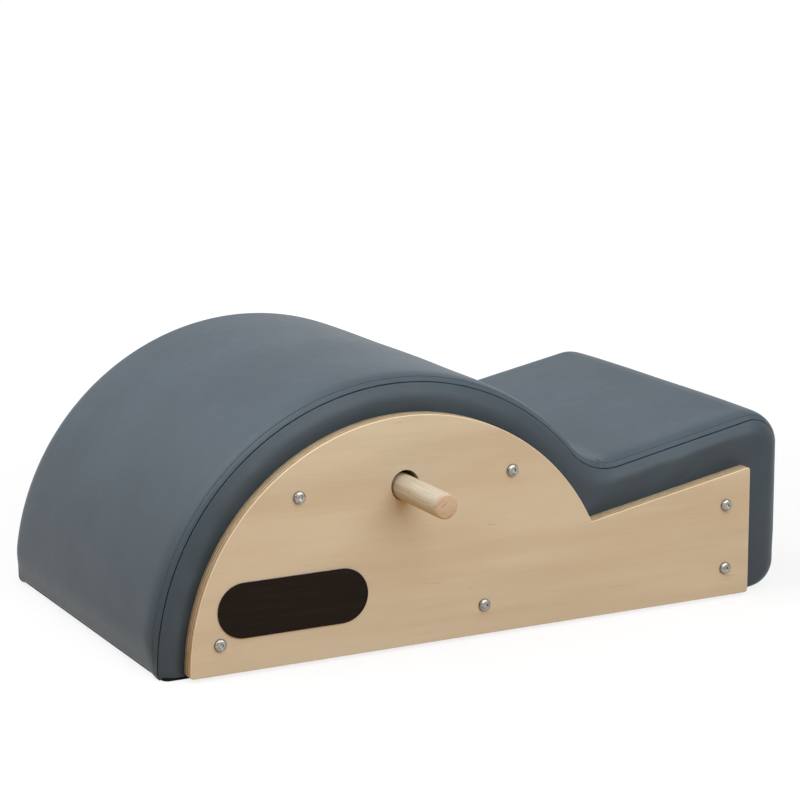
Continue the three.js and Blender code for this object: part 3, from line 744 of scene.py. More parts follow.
def thread_material():
    """Bonded polyester thread, with fine uneven lines for its twist."""
    material, tree, shader = new_material("blue_grey_thread")
    place = own_place(tree)
    twist = noise(tree, place, scale=2600, detail=1, stretch=(1, 3, 1))
    colour = patchy(tree, twist, THREAD_PALE, THREAD_DARK)
    feed(tree, shader, {"Base Color": colour, "Roughness": 0.55})
    add_bumps(tree, shader, twist, STITCH_BUMP)
    return material


def hole_shade_material():
    """Leather pulled down round the needle's holes, painted darker than the leather as shade in them.
    """
    material, tree, shader = new_material("needle_hole_painted_shade")
    depths = noise(tree, own_place(tree), scale=3000)
    colour = patchy(tree, depths, HOLE_SHADE_DARK, HOLE_SHADE_EDGE)
    feed(tree, shader, {"Base Color": colour, "Roughness": 0.8, "Specular IOR Level": 0.1})
    add_bumps(tree, shader, depths, STITCH_BUMP)
    return material


def tube_faces(first, rings, sides):
    """The faces of a closed tube through rings of points, which are numbered from the first."""
    index = first + np.arange(rings * sides).reshape(rings, sides)
    closed = np.concatenate([index, index[:, :1]], 1)
    return grid_faces(closed) + [index[0].tolist(), index[-1].tolist()]


def stitch_row(path, out):
    """Stitches along a path, as slim beads, with a needle hole between each and the next."""
    run = run_along(path)
    turn = np.linspace(0, 2 * math.pi, BEAD_SIDES, endpoint=False)
    cosine, sine = np.cos(turn)[:, None], np.sin(turn)[:, None]
    cross = np.array([0, 1, 0])
    points, faces, hole_faces = [], [], []

    def carried(at):
        """The place, the way along and the way out at a distance along the path."""
        place, up = (np.array([np.interp(at, run, c[:, k]) for k in range(3)]) for c in (path, out))
        return place, np.cross(cross, up), up

    for middle in np.arange(STITCH_PITCH, run[-1], STITCH_PITCH):
        first = len(points) * BEAD_SIDES
        for share, size in BEAD_PROFILE:
            place, _, up = carried(middle + share * STITCH_LENGTH)
            centre = place + up * STITCH_WIDTH * (BEAD_RISE * size - BEAD_SINK)
            points.append(centre + (cosine * cross + sine * up) * size * STITCH_WIDTH / 2)
        place, ahead, up = carried(middle + STITCH_PITCH / 2)
        around = (cosine * cross + sine * ahead) * NEEDLE_HOLE_RADIUS
        for size, rise in HOLE_PROFILE:
            points.append(place + around * size + up * NEEDLE_HOLE_RISE * rise)
        faces += tube_faces(first, len(BEAD_PROFILE), BEAD_SIDES)
        hole_first = first + len(BEAD_PROFILE) * BEAD_SIDES
        hole = tube_faces(hole_first, len(HOLE_PROFILE), BEAD_SIDES)
        hole_faces += range(len(faces), len(faces) + len(hole))
        faces += hole
    return np.concatenate(points), faces, hole_faces


thread, needle_hole_painted_shade = thread_material(), hole_shade_material()
stitch_column = int(np.argmin(np.abs(cover_insets() - STITCH_INSET)))
outs_in_space = np.stack([outs[:, 0], np.zeros(len(outs)), outs[:, 1]], -1)
for side_name, column in (("near", stitch_column), ("far", -1 - stitch_column)):
    points, faces, hole_faces = stitch_row(cover_grid[:, column], outs_in_space)
    stitches = mesh_object(f"{side_name}_topstitching", points, faces, thread)
    # The needle holes take the painted shade.
    stitches.data.materials.append(needle_hole_painted_shade)
    for number in hole_faces:
        stitches.data.polygons[number].material_index = 1
    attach(stitches, "body")

# Side panels: 18 mm birch plywood with a clear satin lacquer, eased on both edges and drilled for six
# screws and for the bar. The upholstery is finished first, and the panels are screwed over it.

PANEL_ARCH_RADIUS = 0.275
PANEL_HEEL_HEIGHT = 0.160
PANEL_SEAT_ANGLE = math.radians(10.3)
PANEL_CORNER_RADIUS = 0.005
PANEL_EASE = 0.0009
PANEL_ARCH_STEP = math.radians(1.0)
CORNER_POINTS = 7
SHARP_ANGLE = math.radians(35)
SCREW_HOLE_DIAMETER = 0.009
SCREW_HOLE_SIDES = 32
BAR_HOLE_DIAMETER = 0.036
BAR_HOLE_SIDES = 72
BAR_HOLE_HEIGHT = 0.193
BAR_HOLE_SETBACK = 0.003
SCREW_PLACES = ("foot", "middle", "heel_low", "heel_high", "arch_front", "arch_rear")
VENEER_PALE = (0.58, 0.535, 0.425, 1)
VENEER_DARK = (0.45, 0.38, 0.27, 1)
# Arris colours: paler than the veneer, a painted highlight along the eased edges.
ARRIS_HIGHLIGHT_PALE = (0.70, 0.61, 0.47, 1)
ARRIS_HIGHLIGHT_DARK = (0.60, 0.50, 0.37, 1)
VENEER_LOOKS = {"figure": 0.4, "fibre": 0.12, "flecks": 0.6}
ARRIS_LOOKS = {"figure": 0.3, "fibre": 0.3, "flecks": 0.0}
LACQUER_LOOKS = {"roughness": 0.42, "depth": 0.00004}
FLAT_FACE = 0.99
EASED_HIGHLIGHT_FACE = 0.5
EDGE_ROUGHNESS = 0.5
EDGE_BUMP = 0.00008
PLY_COUNT = 7
PLY_WANDER = 0.0006
GLUE_WIDTH = (0.02, 0.10)
GLUE_STRENGTH = 0.6
PLY_CHANGE = 0.7
PLY_TONE = -0.1
PLY_STREAKS = 0.4
LONG_GRAIN = (0.52, 0.43, 0.28, 1)
END_GRAIN = (0.31, 0.19, 0.095, 1)
GLUE_LINE = (0.12, 0.06, 0.025, 1)


def rounded_corner(start, corner, stop):
    share = np.linspace(0, 1, CORNER_POINTS)[:, None]
    return (1 - share) ** 2 * start + 2 * share * (1 - share) * corner + share**2 * stop


def panel_outline():
    """The side panel seen from the near side: a half round arch, a notch, and a climb to the heel."""
    slope = math.tan(PANEL_SEAT_ANGLE)
    foot = np.array([panel_low.x, panel_low.z])
    heel = np.array([panel_high.x, panel_low.z])
    centre = foot + [PANEL_ARCH_RADIUS, 0]
    top = heel + [0, PANEL_HEEL_HEIGHT]
    rise = PANEL_HEEL_HEIGHT - (heel[0] - centre[0]) * slope
    a, b = 1 + slope**2, slope * rise
    from_axis = (math.sqrt(b * b - a * (rise**2 - PANEL_ARCH_RADIUS**2)) - b) / a
    notch_angle = math.atan2(rise + from_axis * slope, from_axis)
    start_angle = math.pi - PANEL_CORNER_RADIUS / PANEL_ARCH_RADIUS
    angles = np.append(np.arange(start_angle, notch_angle, -PANEL_ARCH_STEP), notch_angle)
    arch = centre + PANEL_ARCH_RADIUS * pointing(angles)
    along = PANEL_CORNER_RADIUS * np.array([1, 0])
    up = PANEL_CORNER_RADIUS * np.array([0, 1])
    down_slope = PANEL_CORNER_RADIUS * np.array([1, slope])
    return np.concatenate([
        rounded_corner(foot + along, foot, arch[0])[:-1],
        arch,
        rounded_corner(top - down_slope, top, top - up),
        rounded_corner(heel + up, heel, heel - along),
    ])


def round_hole(centre, diameter, sides):
    return centre + diameter / 2 * pointing(np.linspace(0, 2 * math.pi, sides, endpoint=False))


def cut_board(name, loops, thickness, ease, materials):
    """A board cut to its outline and holes with eased edges, lying on XY about its middle."""
    drawing = bpy.data.curves.new(name, "CURVE")
    drawing.dimensions = "2D"
    drawing.fill_mode = "BOTH"
    for loop in loops:
        spline = drawing.splines.new("POLY")
        spline.points.add(len(loop) - 1)
        spline.points.foreach_set("co", [v for x, y in loop for v in (x, y, 0, 1)])
        spline.use_cyclic_u = True
    drawing.extrude = thickness / 2 - ease
    drawing.bevel_depth = ease
    drawing.bevel_resolution = 2
    drawing.offset = -ease
    pattern = new_object(name, drawing)
    mesh = worked_mesh(pattern)
    bpy.data.objects.remove(pattern)
    bpy.data.curves.remove(drawing)
    mesh.materials.clear()
    for material in materials:
        mesh.materials.append(material)
    return new_object(name, mesh)


def stand_up(piece, middle_y):
    """Stands up a board that lies on XY, facing the near side and with its middle at a given Y."""
    turn = Matrix.Rotation(math.pi / 2, 4, "X")
    piece.data.transform(Matrix.Translation((0, middle_y, 0)) @ turn)


def keep_edges(piece):
    """Shades a piece smooth, but for its sharp edges."""
    piece.data.polygons.foreach_set("use_smooth", [True] * len(piece.data.polygons))
    piece.data.set_sharp_from_angle(angle=SHARP_ANGLE)


def ply_edge_group():
    """A cut plywood edge: plies of long and end grain by turns, with dark glue between them."""
    group, given, result = shader_group(
        "ply_edge",
        [
            ("Place", "NodeSocketVector", None),
            ("Inner Face", "NodeSocketFloat", panel_high.y),
            ("Ply Thickness", "NodeSocketFloat", (panel_high.y - panel_low.y) / PLY_COUNT),
            ("Long Grain Colour", "NodeSocketColor", LONG_GRAIN),
            ("End Grain Colour", "NodeSocketColor", END_GRAIN),
            ("Glue Colour", "NodeSocketColor", GLUE_LINE),
        ],
        [("Colour", "NodeSocketColor"), ("Height", "NodeSocketFloat")],
    )
    place = given["Place"]
    across = placed(group, "ShaderNodeSeparateXYZ", {"Vector": place}).outputs["Y"]
    level = sum_of(group, "ADD", sum_of(group, "ABSOLUTE", across), given["Inner Face"])
    wander = sum_of(group, "SUBTRACT", noise(group, place, scale=40, detail=1), 0.5)
    drift = sum_of(group, "MULTIPLY", wander, PLY_WANDER)
    count = sum_of(group, "DIVIDE", sum_of(group, "ADD", level, drift), given["Ply Thickness"])
    within = sum_of(group, "FRACT", count)
    to_joint = sum_of(group, "MINIMUM", within, sum_of(group, "SUBTRACT", 1.0, within))
    glue = ranged(group, to_joint, *GLUE_WIDTH, 1.0, 0.0)
    turn = sum_of(group, "FLOORED_MODULO", sum_of(group, "FLOOR", count), 2.0)
    streaks = noise(group, place, scale=500, stretch=(5, 1, 5))
    pores = noise(group, place, scale=1800)
    toned = sum_of(group, "ADD", sum_of(group, "MULTIPLY", turn, PLY_CHANGE), PLY_TONE)
    streaked = ranged(group, streaks, *NOISE_SPREAD, 0.0, PLY_STREAKS)
    mottled = sum_of(group, "ADD", toned, streaked)
    plies = blended(group, mottled, given["Long Grain Colour"], given["End Grain Colour"])
    glued = sum_of(group, "MULTIPLY", glue, GLUE_STRENGTH)
    colour = blended(group, glued, plies, given["Glue Colour"])
    feed(group, result, {"Colour": colour, "Height": sum_of(group, "SUBTRACT", pores, glue)})
    return group


PLY_EDGE = ply_edge_group()


def ply_edge_material():
    """The panel's cut edges, with their plies in lines."""
    material, tree, shader = new_material("birch_ply_edge")
    edge = in_material(tree, PLY_EDGE, {"Place": own_place(tree)})
    feed(tree, shader, {"Base Color": edge.outputs["Colour"], "Roughness": EDGE_ROUGHNESS})
    add_bumps(tree, shader, edge.outputs["Height"], EDGE_BUMP)
    return material


def screw_centre(name):
    low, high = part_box(f"near_bolt_{name}")
    return np.array([(low.x + high.x) / 2, (low.z + high.z) / 2])


veneer = wood("birch_veneer", VENEER_PALE, VENEER_DARK, **VENEER_LOOKS, **LACQUER_LOOKS)
# The eased faces next to each flat face get a paler wood: a painted highlight.
arris_highlight = wood("birch_arris_painted_highlight", ARRIS_HIGHLIGHT_PALE, ARRIS_HIGHLIGHT_DARK, **ARRIS_LOOKS, **LACQUER_LOOKS)
ply_edge = ply_edge_material()
panel_loop = panel_outline()
bar_hole_place = np.array([PANEL_ARCH_RADIUS - BAR_HOLE_SETBACK, BAR_HOLE_HEIGHT])
bar_hole_centre = np.array([panel_low.x, panel_low.z]) + bar_hole_place
screw_hole = (SCREW_HOLE_DIAMETER, SCREW_HOLE_SIDES)
panel_holes = [round_hole(screw_centre(name), *screw_hole) for name in SCREW_PLACES]
panel_holes.append(round_hole(bar_hole_centre, BAR_HOLE_DIAMETER, BAR_HOLE_SIDES))
for side_name in ("near", "far"):
    low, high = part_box(f"{side_name}_side_panel")
    cut = ([panel_loop, *panel_holes], high.y - low.y, PANEL_EASE)
    panel = cut_board(f"{side_name}_panel_plywood", *cut, [veneer, ply_edge, arris_highlight])
    stand_up(panel, (low.y + high.y) / 2)
    # Flat faces take the veneer, the eased faces beside them the painted highlight, and the rest the
    # ply edge.
    for face in panel.data.polygons:
        flatness = abs(face.normal.y)
        face.material_index = 0 if flatness > FLAT_FACE else 2 if flatness > EASED_HIGHLIGHT_FACE else 1
    keep_edges(panel)
    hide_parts(f"{side_name}_side_panel")
    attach(panel, "body")

# Side boxings: a strip of the same leather on each side. It is sewn to the top cover, rolls over the
# foam's edge, bulges a little past the panel's inner face, and dives behind the panel to its staples.

BOXING_ROLL = 0.027
BOXING_ROLL_POWER = 3
BOXING_BELLY_START = 0.014
BOXING_TUCK_FLOOR = 0.0048
BARREL_TUCK = 0.050
SEAT_TUCK = 0.062
END_TUCK = 0.070
PANEL_GAP = 0.0003
FALL = 0.0014
FALL_SLOPE = 0.07
BOXING_SLACK = 0.0003
BOXING_SLACK_LENGTH = 0.06
BOXING_SLACK_START = (0.004, 0.014)
BOXING_SLACK_GAP = (0, 0.01)
BOXING_SEED = 11
BOXING_COLUMNS = 40
COLUMN_SPREAD = 1.3
LEAST_FREE_WIDTH = 0.001


def gap_outside(points, loop):
    """How far each point lies outside a closed outline, negative inside it."""
    start, stop = loop, np.roll(loop, -1, 0)
    edge = stop - start
    offset = points[..., None, :] - start
    share = np.clip((offset * edge).sum(-1) / (edge * edge).sum(-1), 0, 1)
    gap = np.linalg.norm(offset - share[..., None] * edge, axis=-1).min(-1)
    x, z = points[..., 0, None], points[..., 1, None]
    rises = np.where(edge[:, 1] == 0, 1, edge[:, 1])
    at = start[:, 0] + (z - start[:, 1]) * edge[:, 0] / rises
    crosses = ((start[:, 1] > z) != (stop[:, 1] > z)) & (x < at)
    return np.where(crosses.sum(-1) % 2 == 1, -gap, gap)


def boxing_grid(side):
    """A boxing's outer face, from the bottom of the seam's groove to its edge behind the panel."""
    reach = inside_line(BARREL_TUCK, SEAT_TUCK, END_TUCK, BOXING_TUCK_FLOOR) - seam
    full_reach = np.linalg.norm(reach, axis=1)[:, None]
    lip, lip_drop = groove_lip()
    share = np.linspace(0, 1, BOXING_COLUMNS + 1)[1:]
    depth = lip[-1] + (full_reach - lip[-1]) * share**COLUMN_SPREAD
    depth = np.concatenate([np.broadcast_to(lip, (len(seam), len(lip))), depth], 1)
    drop = np.zeros(depth.shape[1])
    drop[: len(lip_drop)] = lip_drop
    points = seam[:, None, :] + (reach / full_reach)[:, None, :] * depth[..., None]
    gap = gap_outside(points, panel_loop)
    free_width = np.maximum(depth + gap - BOXING_BELLY_START, LEAST_FREE_WIDTH)
    fall = FALL + FALL_SLOPE * free_width
    edge = abs(panel_high.y) - PANEL_GAP - seam_y
    out = (edge + fall) * (1 - (1 - np.minimum(depth / BOXING_ROLL, 1)) ** BOXING_ROLL_POWER)
    dive = fall * (1 - np.clip(gap / free_width, 0, 1)) ** 2
    slack = BOXING_SLACK * waves(lengths[:, None], depth, BOXING_SLACK_LENGTH, BOXING_SEED)
    loose = smoothstep(depth, *BOXING_SLACK_START) * smoothstep(gap, *BOXING_SLACK_GAP)
    y = seam_y + out - dive * smoothstep(depth, 0, BOXING_ROLL)
    y = side * (y + loose * slack - drop)
    sunk = points - outs[:, None, :] * drop[None, :, None]
    return droop(np.stack([sunk[..., 0], y, sunk[..., 1]], -1))


for side_name, side in (("near", -1), ("far", 1)):
    boxing = skin_object(f"{side_name}_boxing_leather", boxing_grid(side), leather)
    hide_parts(f"{side_name}_boxing")
    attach(boxing, "body")

# Base sheet: black non-slip felt glued under the body, with rounded corners. Its black edge shows as a
# thin dark line under the foot, which also stands in for the shade under the body there: painted
# shade. It ends a little inside the heel.

SHEET_THICKNESS = 0.003
SHEET_CORNER = 0.008
SHEET_CORNER_POINTS = 9
SHEET_EASE = 0.0005
SHEET_HEEL_SETBACK = 0.020
# Felt black: the felt's own colour, and painted shade for the dark line under the foot.
FELT_AND_SHADE_BLACK = (0.010, 0.010, 0.011, 1)
FELT_GREY = (0.028, 0.028, 0.030, 1)
FELT_MATTING = (0.2, 0.8)
FELT_BUMP = 0.0005


def rounded_rectangle(low, high, radius):
    corners = [(high.x, high.y, 0), (low.x, high.y, 90), (low.x, low.y, 180), (high.x, low.y, 270)]
    made = []
    for x, y, start in corners:
        angle = np.radians(np.linspace(start, start + 90, SHEET_CORNER_POINTS))
        inward = np.array([math.copysign(radius, -x), math.copysign(radius, -y)])
        made.append(np.array([x, y]) + inward + radius * pointing(angle))
    return np.concatenate(made)


def felt_and_shade_material():
    """Needled felt: matted short fibres with a dull, uneven black, which also serves as painted shade
    under the body.
    """
    material, tree, shader = new_material("black_felt_and_painted_shade")
    place = own_place(tree)
    fibres = noise(tree, place, scale=1500, detail=4, roughness=0.7)
    matted = noise(tree, place, scale=120, detail=3)
    matting = ranged(tree, matted, *FELT_MATTING)
    share = sum_of(tree, "MULTIPLY", ranged(tree, fibres, *NOISE_SPREAD), matting)
    colour = blended(tree, share, FELT_AND_SHADE_BLACK, FELT_GREY)
    feed(tree, shader, {"Base Color": colour, "Roughness": 1.0, "Specular IOR Level": 0.1})
    add_bumps(tree, shader, fibres, FELT_BUMP)
    return material


sheet_low, sheet_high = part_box("base_sheet")
sheet_high.x -= SHEET_HEEL_SETBACK
sheet_loop = rounded_rectangle(sheet_low, sheet_high, SHEET_CORNER)
# The black sheet is partly real felt, partly painted shade under the body.
felt_and_shade = felt_and_shade_material()
sheet = cut_board("base_felt_and_painted_shade", [sheet_loop], SHEET_THICKNESS, SHEET_EASE, [felt_and_shade])
sheet.data.transform(Matrix.Translation((0, 0, SHEET_THICKNESS / 2)))
keep_edges(sheet)
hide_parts("base_sheet")
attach(sheet, "body")

# Screws: six M8 button heads with hex sockets hold each panel, in stainless steel. They run through
# the panel into zinc plated threaded inserts in the ribs, which keep their shape from the frame.

HEAD_RADIUS = 0.0075
HEAD_HEIGHT = 0.0044
HEAD_RIM = 0.0009
HEAD_CROWN_RADIUS = 0.0042
HEAD_POINTS = 9
SHANK_RADIUS = 0.0040
SHANK_TIP_RADIUS = 0.0030
SHANK_TIP_LENGTH = 0.001
SOCKET_WIDTH = 0.0050
SOCKET_DEPTH = 0.0026
SOCKET_MOUTH = 1.2
SOCKET_EASE = 0.0002
SOCKET_TIP_RADIUS = 0.0008
SOCKET_TIP_DEPTH = 0.0006
SCREW_SIDES = 48
STAINLESS = (0.36, 0.34, 0.315, 1)
STAINLESS_DULL = (0.17, 0.155, 0.14, 1)
ZINC = (0.50, 0.52, 0.54, 1)
ZINC_DULL = (0.36, 0.38, 0.39, 1)
STAINLESS_ROUGHNESS = 0.20
ZINC_ROUGHNESS = 0.42
ROUGHNESS_CHANGE = (-0.06, 0.08)
HANDLED_SPREAD = (0.4, 0.7)
SCRATCH_BUMP = 0.00001


def ring(radius, height, sides=SCREW_SIDES):
    """Points round the Y axis at a height along it."""
    angle = np.linspace(0, 2 * math.pi, sides, endpoint=False)
    return np.stack([radius * np.cos(angle), np.full(sides, height), radius * np.sin(angle)], -1)


def hex_ring(width, height):
    """Points on a hexagon about the Y axis, as many as on a ring."""
    angle = np.linspace(0, 2 * math.pi, SCREW_SIDES, endpoint=False)
    flat = math.pi / 3
    from_flat = (angle + flat / 2) % flat - flat / 2
    return ring(width / 2 / np.cos(from_flat), height)


def ring_object(name, rings, material):
    """A closed piece through rings of points, from one end to the other."""
    faces = tube_faces(0, len(rings), len(rings[0]))
    piece = mesh_object(name, np.concatenate(rings), faces, material)
    keep_edges(piece)
    return piece


def screw_rings(length):
    """A button head screw from the tip of its shank to the floor of its socket."""
    turn = np.linspace(0, math.pi / 2, HEAD_POINTS)
    dome_radii = HEAD_CROWN_RADIUS + (HEAD_RADIUS - HEAD_CROWN_RADIUS) * np.cos(turn)
    dome_heights = HEAD_RIM + (HEAD_HEIGHT - HEAD_RIM) * np.sin(turn)
    floor = HEAD_HEIGHT - SOCKET_DEPTH
    return [
        ring(SHANK_TIP_RADIUS, -length),
        ring(SHANK_RADIUS, SHANK_TIP_LENGTH - length),
        ring(SHANK_RADIUS, 0),
        ring(HEAD_RADIUS, 0),
        *(ring(radius, height) for radius, height in zip(dome_radii, dome_heights)),
        ring(SOCKET_WIDTH / 2 * SOCKET_MOUTH, HEAD_HEIGHT),
        hex_ring(SOCKET_WIDTH, HEAD_HEIGHT - SOCKET_EASE),
        hex_ring(SOCKET_WIDTH, floor),
        ring(SOCKET_TIP_RADIUS, floor - SOCKET_TIP_DEPTH),
    ]


def metal_material(name, bright, dull, roughness):
    """Steel with fine lines, small scratches and duller patches where it was handled."""
    material, tree, shader = new_material(name)
    place = own_place(tree)
    handled = ranged(tree, noise(tree, place, scale=300, detail=3), *HANDLED_SPREAD)
    scratches = noise(tree, place, scale=3000, stretch=(1, 1, 12))
    limits = (roughness + change for change in ROUGHNESS_CHANGE)
    uneven = ranged(tree, scratches, *NOISE_SPREAD, *limits)
    colour = blended(tree, handled, bright, dull)
    feed(tree, shader, {"Base Color": colour, "Metallic": 1.0, "Roughness": uneven})
    add_bumps(tree, shader, scratches, SCRATCH_BUMP)
    return material


stainless = metal_material("stainless_steel", STAINLESS, STAINLESS_DULL, STAINLESS_ROUGHNESS)
zinc = metal_material("zinc_plate", ZINC, ZINC_DULL, ZINC_ROUGHNESS)
for side_name, facing in (("near", -1), ("far", 1)):
    for place_name in SCREW_PLACES:
        low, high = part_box(f"{side_name}_bolt_{place_name}")
        length = high.y - low.y - HEAD_HEIGHT
        x, z = screw_centre(place_name)
        y = (low.y if facing < 0 else high.y) - facing * HEAD_HEIGHT
        points = [spot * np.array([1, facing, 1]) + np.array([x, y, z]) for spot in screw_rings(length)]
        screw = ring_object(f"{side_name}_screw_{place_name}", points, stainless)
        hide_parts(f"{side_name}_bolt_{place_name}")
        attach(screw, "body")
        nodes[f"{side_name}_insert_{place_name}"].material_slots[0].material = zinc

# Handle bar: a loose ash dowel, sanded and left with a thin matt finish. It lies in the bottom of its
# holes, with its ends chamfered and showing end grain.

BAR_CHAMFER = 0.0020
BAR_SOFT_EDGE = 0.0003
SOFT_EDGE_BEND = 0.4
BAR_SIDES = 72
BAR_END_FACE = 0.5
ASH_PALE = (0.56, 0.51, 0.41, 1)
ASH_DARK = (0.33, 0.255, 0.17, 1)
ASH_LOOKS = {"figure": 0.45, "fibre": 0.55, "roughness": 0.6, "depth": 0.00004}
END_PALE = (0.50, 0.405, 0.30, 1)
END_DARK = (0.34, 0.23, 0.14, 1)
END_GRAIN_TURN = (0, 35, 0)
LATE_WOOD_SPREAD = (0.45, 0.70)
END_PORE_SPREAD = (0.6, 0.8)
END_GRAIN_BUMP = 0.0001


def bar_rings(radius, half_length):
    """A dowel between two chamfers, with rings along it and round each softened edge."""
    face = radius - BAR_CHAMFER
    bend = BAR_SOFT_EDGE * SOFT_EDGE_BEND
    end = [
        (face - BAR_SOFT_EDGE, half_length),
        (face, half_length - bend),
        (radius - bend, half_length - BAR_CHAMFER),
        (radius, half_length - BAR_CHAMFER - BAR_SOFT_EDGE),
    ]
    stations = [(r, -y) for r, y in end] + [(r, y) for r, y in reversed(end)]
    return [ring(r, y, BAR_SIDES) for r, y in stations]


def end_grain_material():
    """Sawn and sanded end grain: growth rings that cross at a slant, and open pores."""
    material, tree, shader = new_material("ash_end_grain")
    place = own_place(tree, END_GRAIN_TURN)
    growth = noise(tree, place, scale=420, detail=3, roughness=0.6, stretch=(9, 9, 1))
    pores = noise(tree, place, scale=1600, stretch=(3, 3, 1))
    late = ranged(tree, growth, *LATE_WOOD_SPREAD)
    dark = sum_of(tree, "ADD", late, ranged(tree, pores, *END_PORE_SPREAD))
    share = sum_of(tree, "MINIMUM", dark, 1.0)
    feed(tree, shader, {"Base Color": blended(tree, share, END_PALE, END_DARK), "Roughness": 0.7})
    add_bumps(tree, shader, pores, END_GRAIN_BUMP)
    return material


bar_low, bar_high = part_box("handle_bar")
bar_centre = np.array([(bar_low.x + bar_high.x) / 2, 0, (bar_low.z + bar_high.z) / 2])
ash = wood("ash_dowel", ASH_PALE, ASH_DARK, **ASH_LOOKS, turn=(0, 0, 90))
ash_end = end_grain_material()
bar_points = bar_rings((bar_high.z - bar_low.z) / 2, bar_high.y)
bar = ring_object("ash_handle_bar", [spots + bar_centre for spots in bar_points], ash)
bar.data.materials.append(ash_end)
for face in bar.data.polygons:
    face.material_index = 1 if abs(face.normal.y) > BAR_END_FACE else 0
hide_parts("handle_bar")
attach(bar, "handle")

# Plate: a thin near black plate with round ends, stuck to the near panel. It is left bare, with fine
# brushed lines along it and a small bevel round its edge.

PLATE_BEVEL = 0.0003
PLATE_END_POINTS = 33
PLATE_BLACK = (0.0065, 0.0034, 0.0016, 1)
PLATE_BROWN = (0.0150, 0.0090, 0.0050, 1)
LINE_SPREAD = (0.3, 0.8)
STREAK_SPREAD = (0.5, 0.8)
PLATE_ROUGHNESS = (0.30, 0.42)
PLATE_BUMP = 0.00002


def plate_outline(low, high):
    radius = (high.z - low.z) / 2
    middle = (high.z + low.z) / 2
    round_end = radius * pointing(np.linspace(math.pi / 2, 1.5 * math.pi, PLATE_END_POINTS))
    return np.concatenate([
        np.array([low.x + radius, middle]) + round_end,
        np.array([high.x - radius, middle]) - round_end,
    ])


def plate_material():
    """A near black face with fine brushed lines, broader streaks and faint smudges."""
    material, tree, shader = new_material("near_black_plate")
    place = own_place(tree)
    lines = noise(tree, place, scale=1100, detail=3, roughness=0.6, stretch=(60, 1, 1))
    streaks = noise(tree, place, scale=130, stretch=(8, 1, 1))
    smudges = noise(tree, place, scale=35, detail=3)
    fine, broad = ranged(tree, lines, *LINE_SPREAD), ranged(tree, streaks, *STREAK_SPREAD)
    brown = sum_of(tree, "MULTIPLY", sum_of(tree, "ADD", fine, broad), 0.5)
    colour = blended(tree, brown, PLATE_BLACK, PLATE_BROWN)
    roughness = ranged(tree, smudges, *NOISE_SPREAD, *PLATE_ROUGHNESS)
    looks = {"Base Color": colour, "Roughness": roughness, "Specular IOR Level": 0.10}
    feed(tree, shader, looks)
    add_bumps(tree, shader, lines, PLATE_BUMP)
    return material


plate_low, plate_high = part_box("name_plate")
plate_black = plate_material()
plate_cut = ([plate_outline(plate_low, plate_high)], plate_high.y - plate_low.y, PLATE_BEVEL)
plate = cut_board("bare_plate", *plate_cut, [plate_black])
stand_up(plate, (plate_low.y + plate_high.y) / 2)
keep_edges(plate)
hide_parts("name_plate")
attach(plate, "body")

# Floor and room: a plain floor with a warm tint in what it throws back, in a white room that is
# brightest overhead. Camera and reflections see both as white, and the floor keeps its shadow.

FLOOR_SIZE = 30
FLOOR_WARM = (0.54, 0.29, 0.07, 1)
FLOOR_WHITE = (0.16, 0.16, 0.16, 1)
FLOOR_GLOW = (0.82, 1.0)
FLOOR_GLOW_REACH = (0.7, 1.8)
SKY_HIGH = 0.06
SKY_LOW = 0.04


def seen_share(tree):
    """1 for rays that show the background, straight or in a reflection, and 0 for the light."""
    path = placed(tree, "ShaderNodeLightPath").outputs
    mirrored = sum_of(tree, "ADD", path["Is Glossy Ray"], path["Is Transmission Ray"])
    return sum_of(tree, "MINIMUM", sum_of(tree, "ADD", path["Is Camera Ray"], mirrored), 1.0)


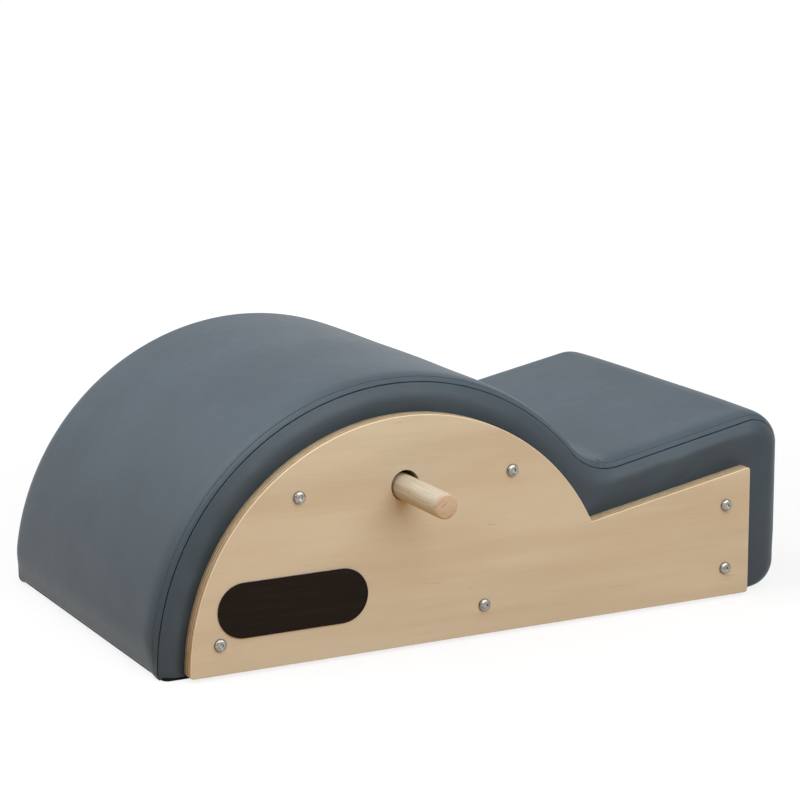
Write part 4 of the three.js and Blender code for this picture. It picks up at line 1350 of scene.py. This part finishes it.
def floor_material():
    """Warm matt floor that looks white, darkened only by the object's shadow."""
    material, tree, shader = new_material("floor")
    feed(tree, shader, {"Base Color": FLOOR_WARM, "Roughness": 1.0, "Specular IOR Level": 0.0})
    white = placed(tree, "ShaderNodeBsdfDiffuse", {"Color": FLOOR_WHITE})
    place = placed(tree, "ShaderNodeTexCoord").outputs["Object"]
    reach = placed(tree, "ShaderNodeVectorMath", {0: place}, operation="LENGTH").outputs["Value"]
    strength = ranged(tree, reach, *FLOOR_GLOW_REACH, *FLOOR_GLOW)
    glow = placed(tree, "ShaderNodeEmission", {"Strength": strength})
    lit = placed(tree, "ShaderNodeAddShader", {0: white.outputs[0], 1: glow.outputs[0]})
    sides = {0: seen_share(tree), 1: shader.outputs[0], 2: lit.outputs[0]}
    mixed = placed(tree, "ShaderNodeMixShader", sides)
    tree.links.new(mixed.outputs[0], tree.nodes["Material Output"].inputs["Surface"])
    return material


half = FLOOR_SIZE / 2
floor_points = np.array([[-half, -half, 0], [half, -half, 0], [half, half, 0], [-half, half, 0]])
floor = mesh_object("floor", floor_points, [[0, 1, 2, 3]], floor_material())

world = bpy.data.worlds.new("room")
bpy.context.scene.world = world
world.use_nodes = True
room = world.node_tree
direction = placed(room, "ShaderNodeTexCoord").outputs["Generated"]
height = placed(room, "ShaderNodeSeparateXYZ", {"Vector": direction}).outputs["Z"]
light = ranged(room, height, 0.0, 1.0, SKY_LOW, SKY_HIGH)
seen = seen_share(room)
lit_share = sum_of(room, "MULTIPLY", light, sum_of(room, "SUBTRACT", 1.0, seen))
feed(room, room.nodes["Background"], {
    "Color": (1, 1, 1, 1),
    "Strength": sum_of(room, "ADD", lit_share, seen),
})

# Lamps: three broad softboxes. A low one stands in front of the near side, one hangs over the front
# edge, and one over the barrel's back gives its round face and the seat their light.

LAMPS = {
    "front": (Vector((0.4, -2.4, 1.5)), (2.6, 1.8), 52, (1.05, 1.0, 0.97)),
    "overhead": (Vector((0.3, -0.9, 3.0)), (3.0, 2.4), 38, (1.0, 1.0, 1.0)),
    "back": (Vector((-1.7, 0.6, 2.4)), (3.4, 2.8), 88, (1.0, 1.0, 1.0)),
}

for name, (place, size, power, colour) in LAMPS.items():
    lamp_data = bpy.data.lights.new(name, "AREA")
    lamp_data.shape = "RECTANGLE"
    lamp_data.size, lamp_data.size_y = size
    lamp_data.energy = power
    lamp_data.color = colour
    lamp = new_object(name, lamp_data)
    lamp.location = place
    lamp.rotation_euler = place.to_track_quat("Z", "Y").to_euler()

bpy.context.scene.view_settings.view_transform = "Standard"
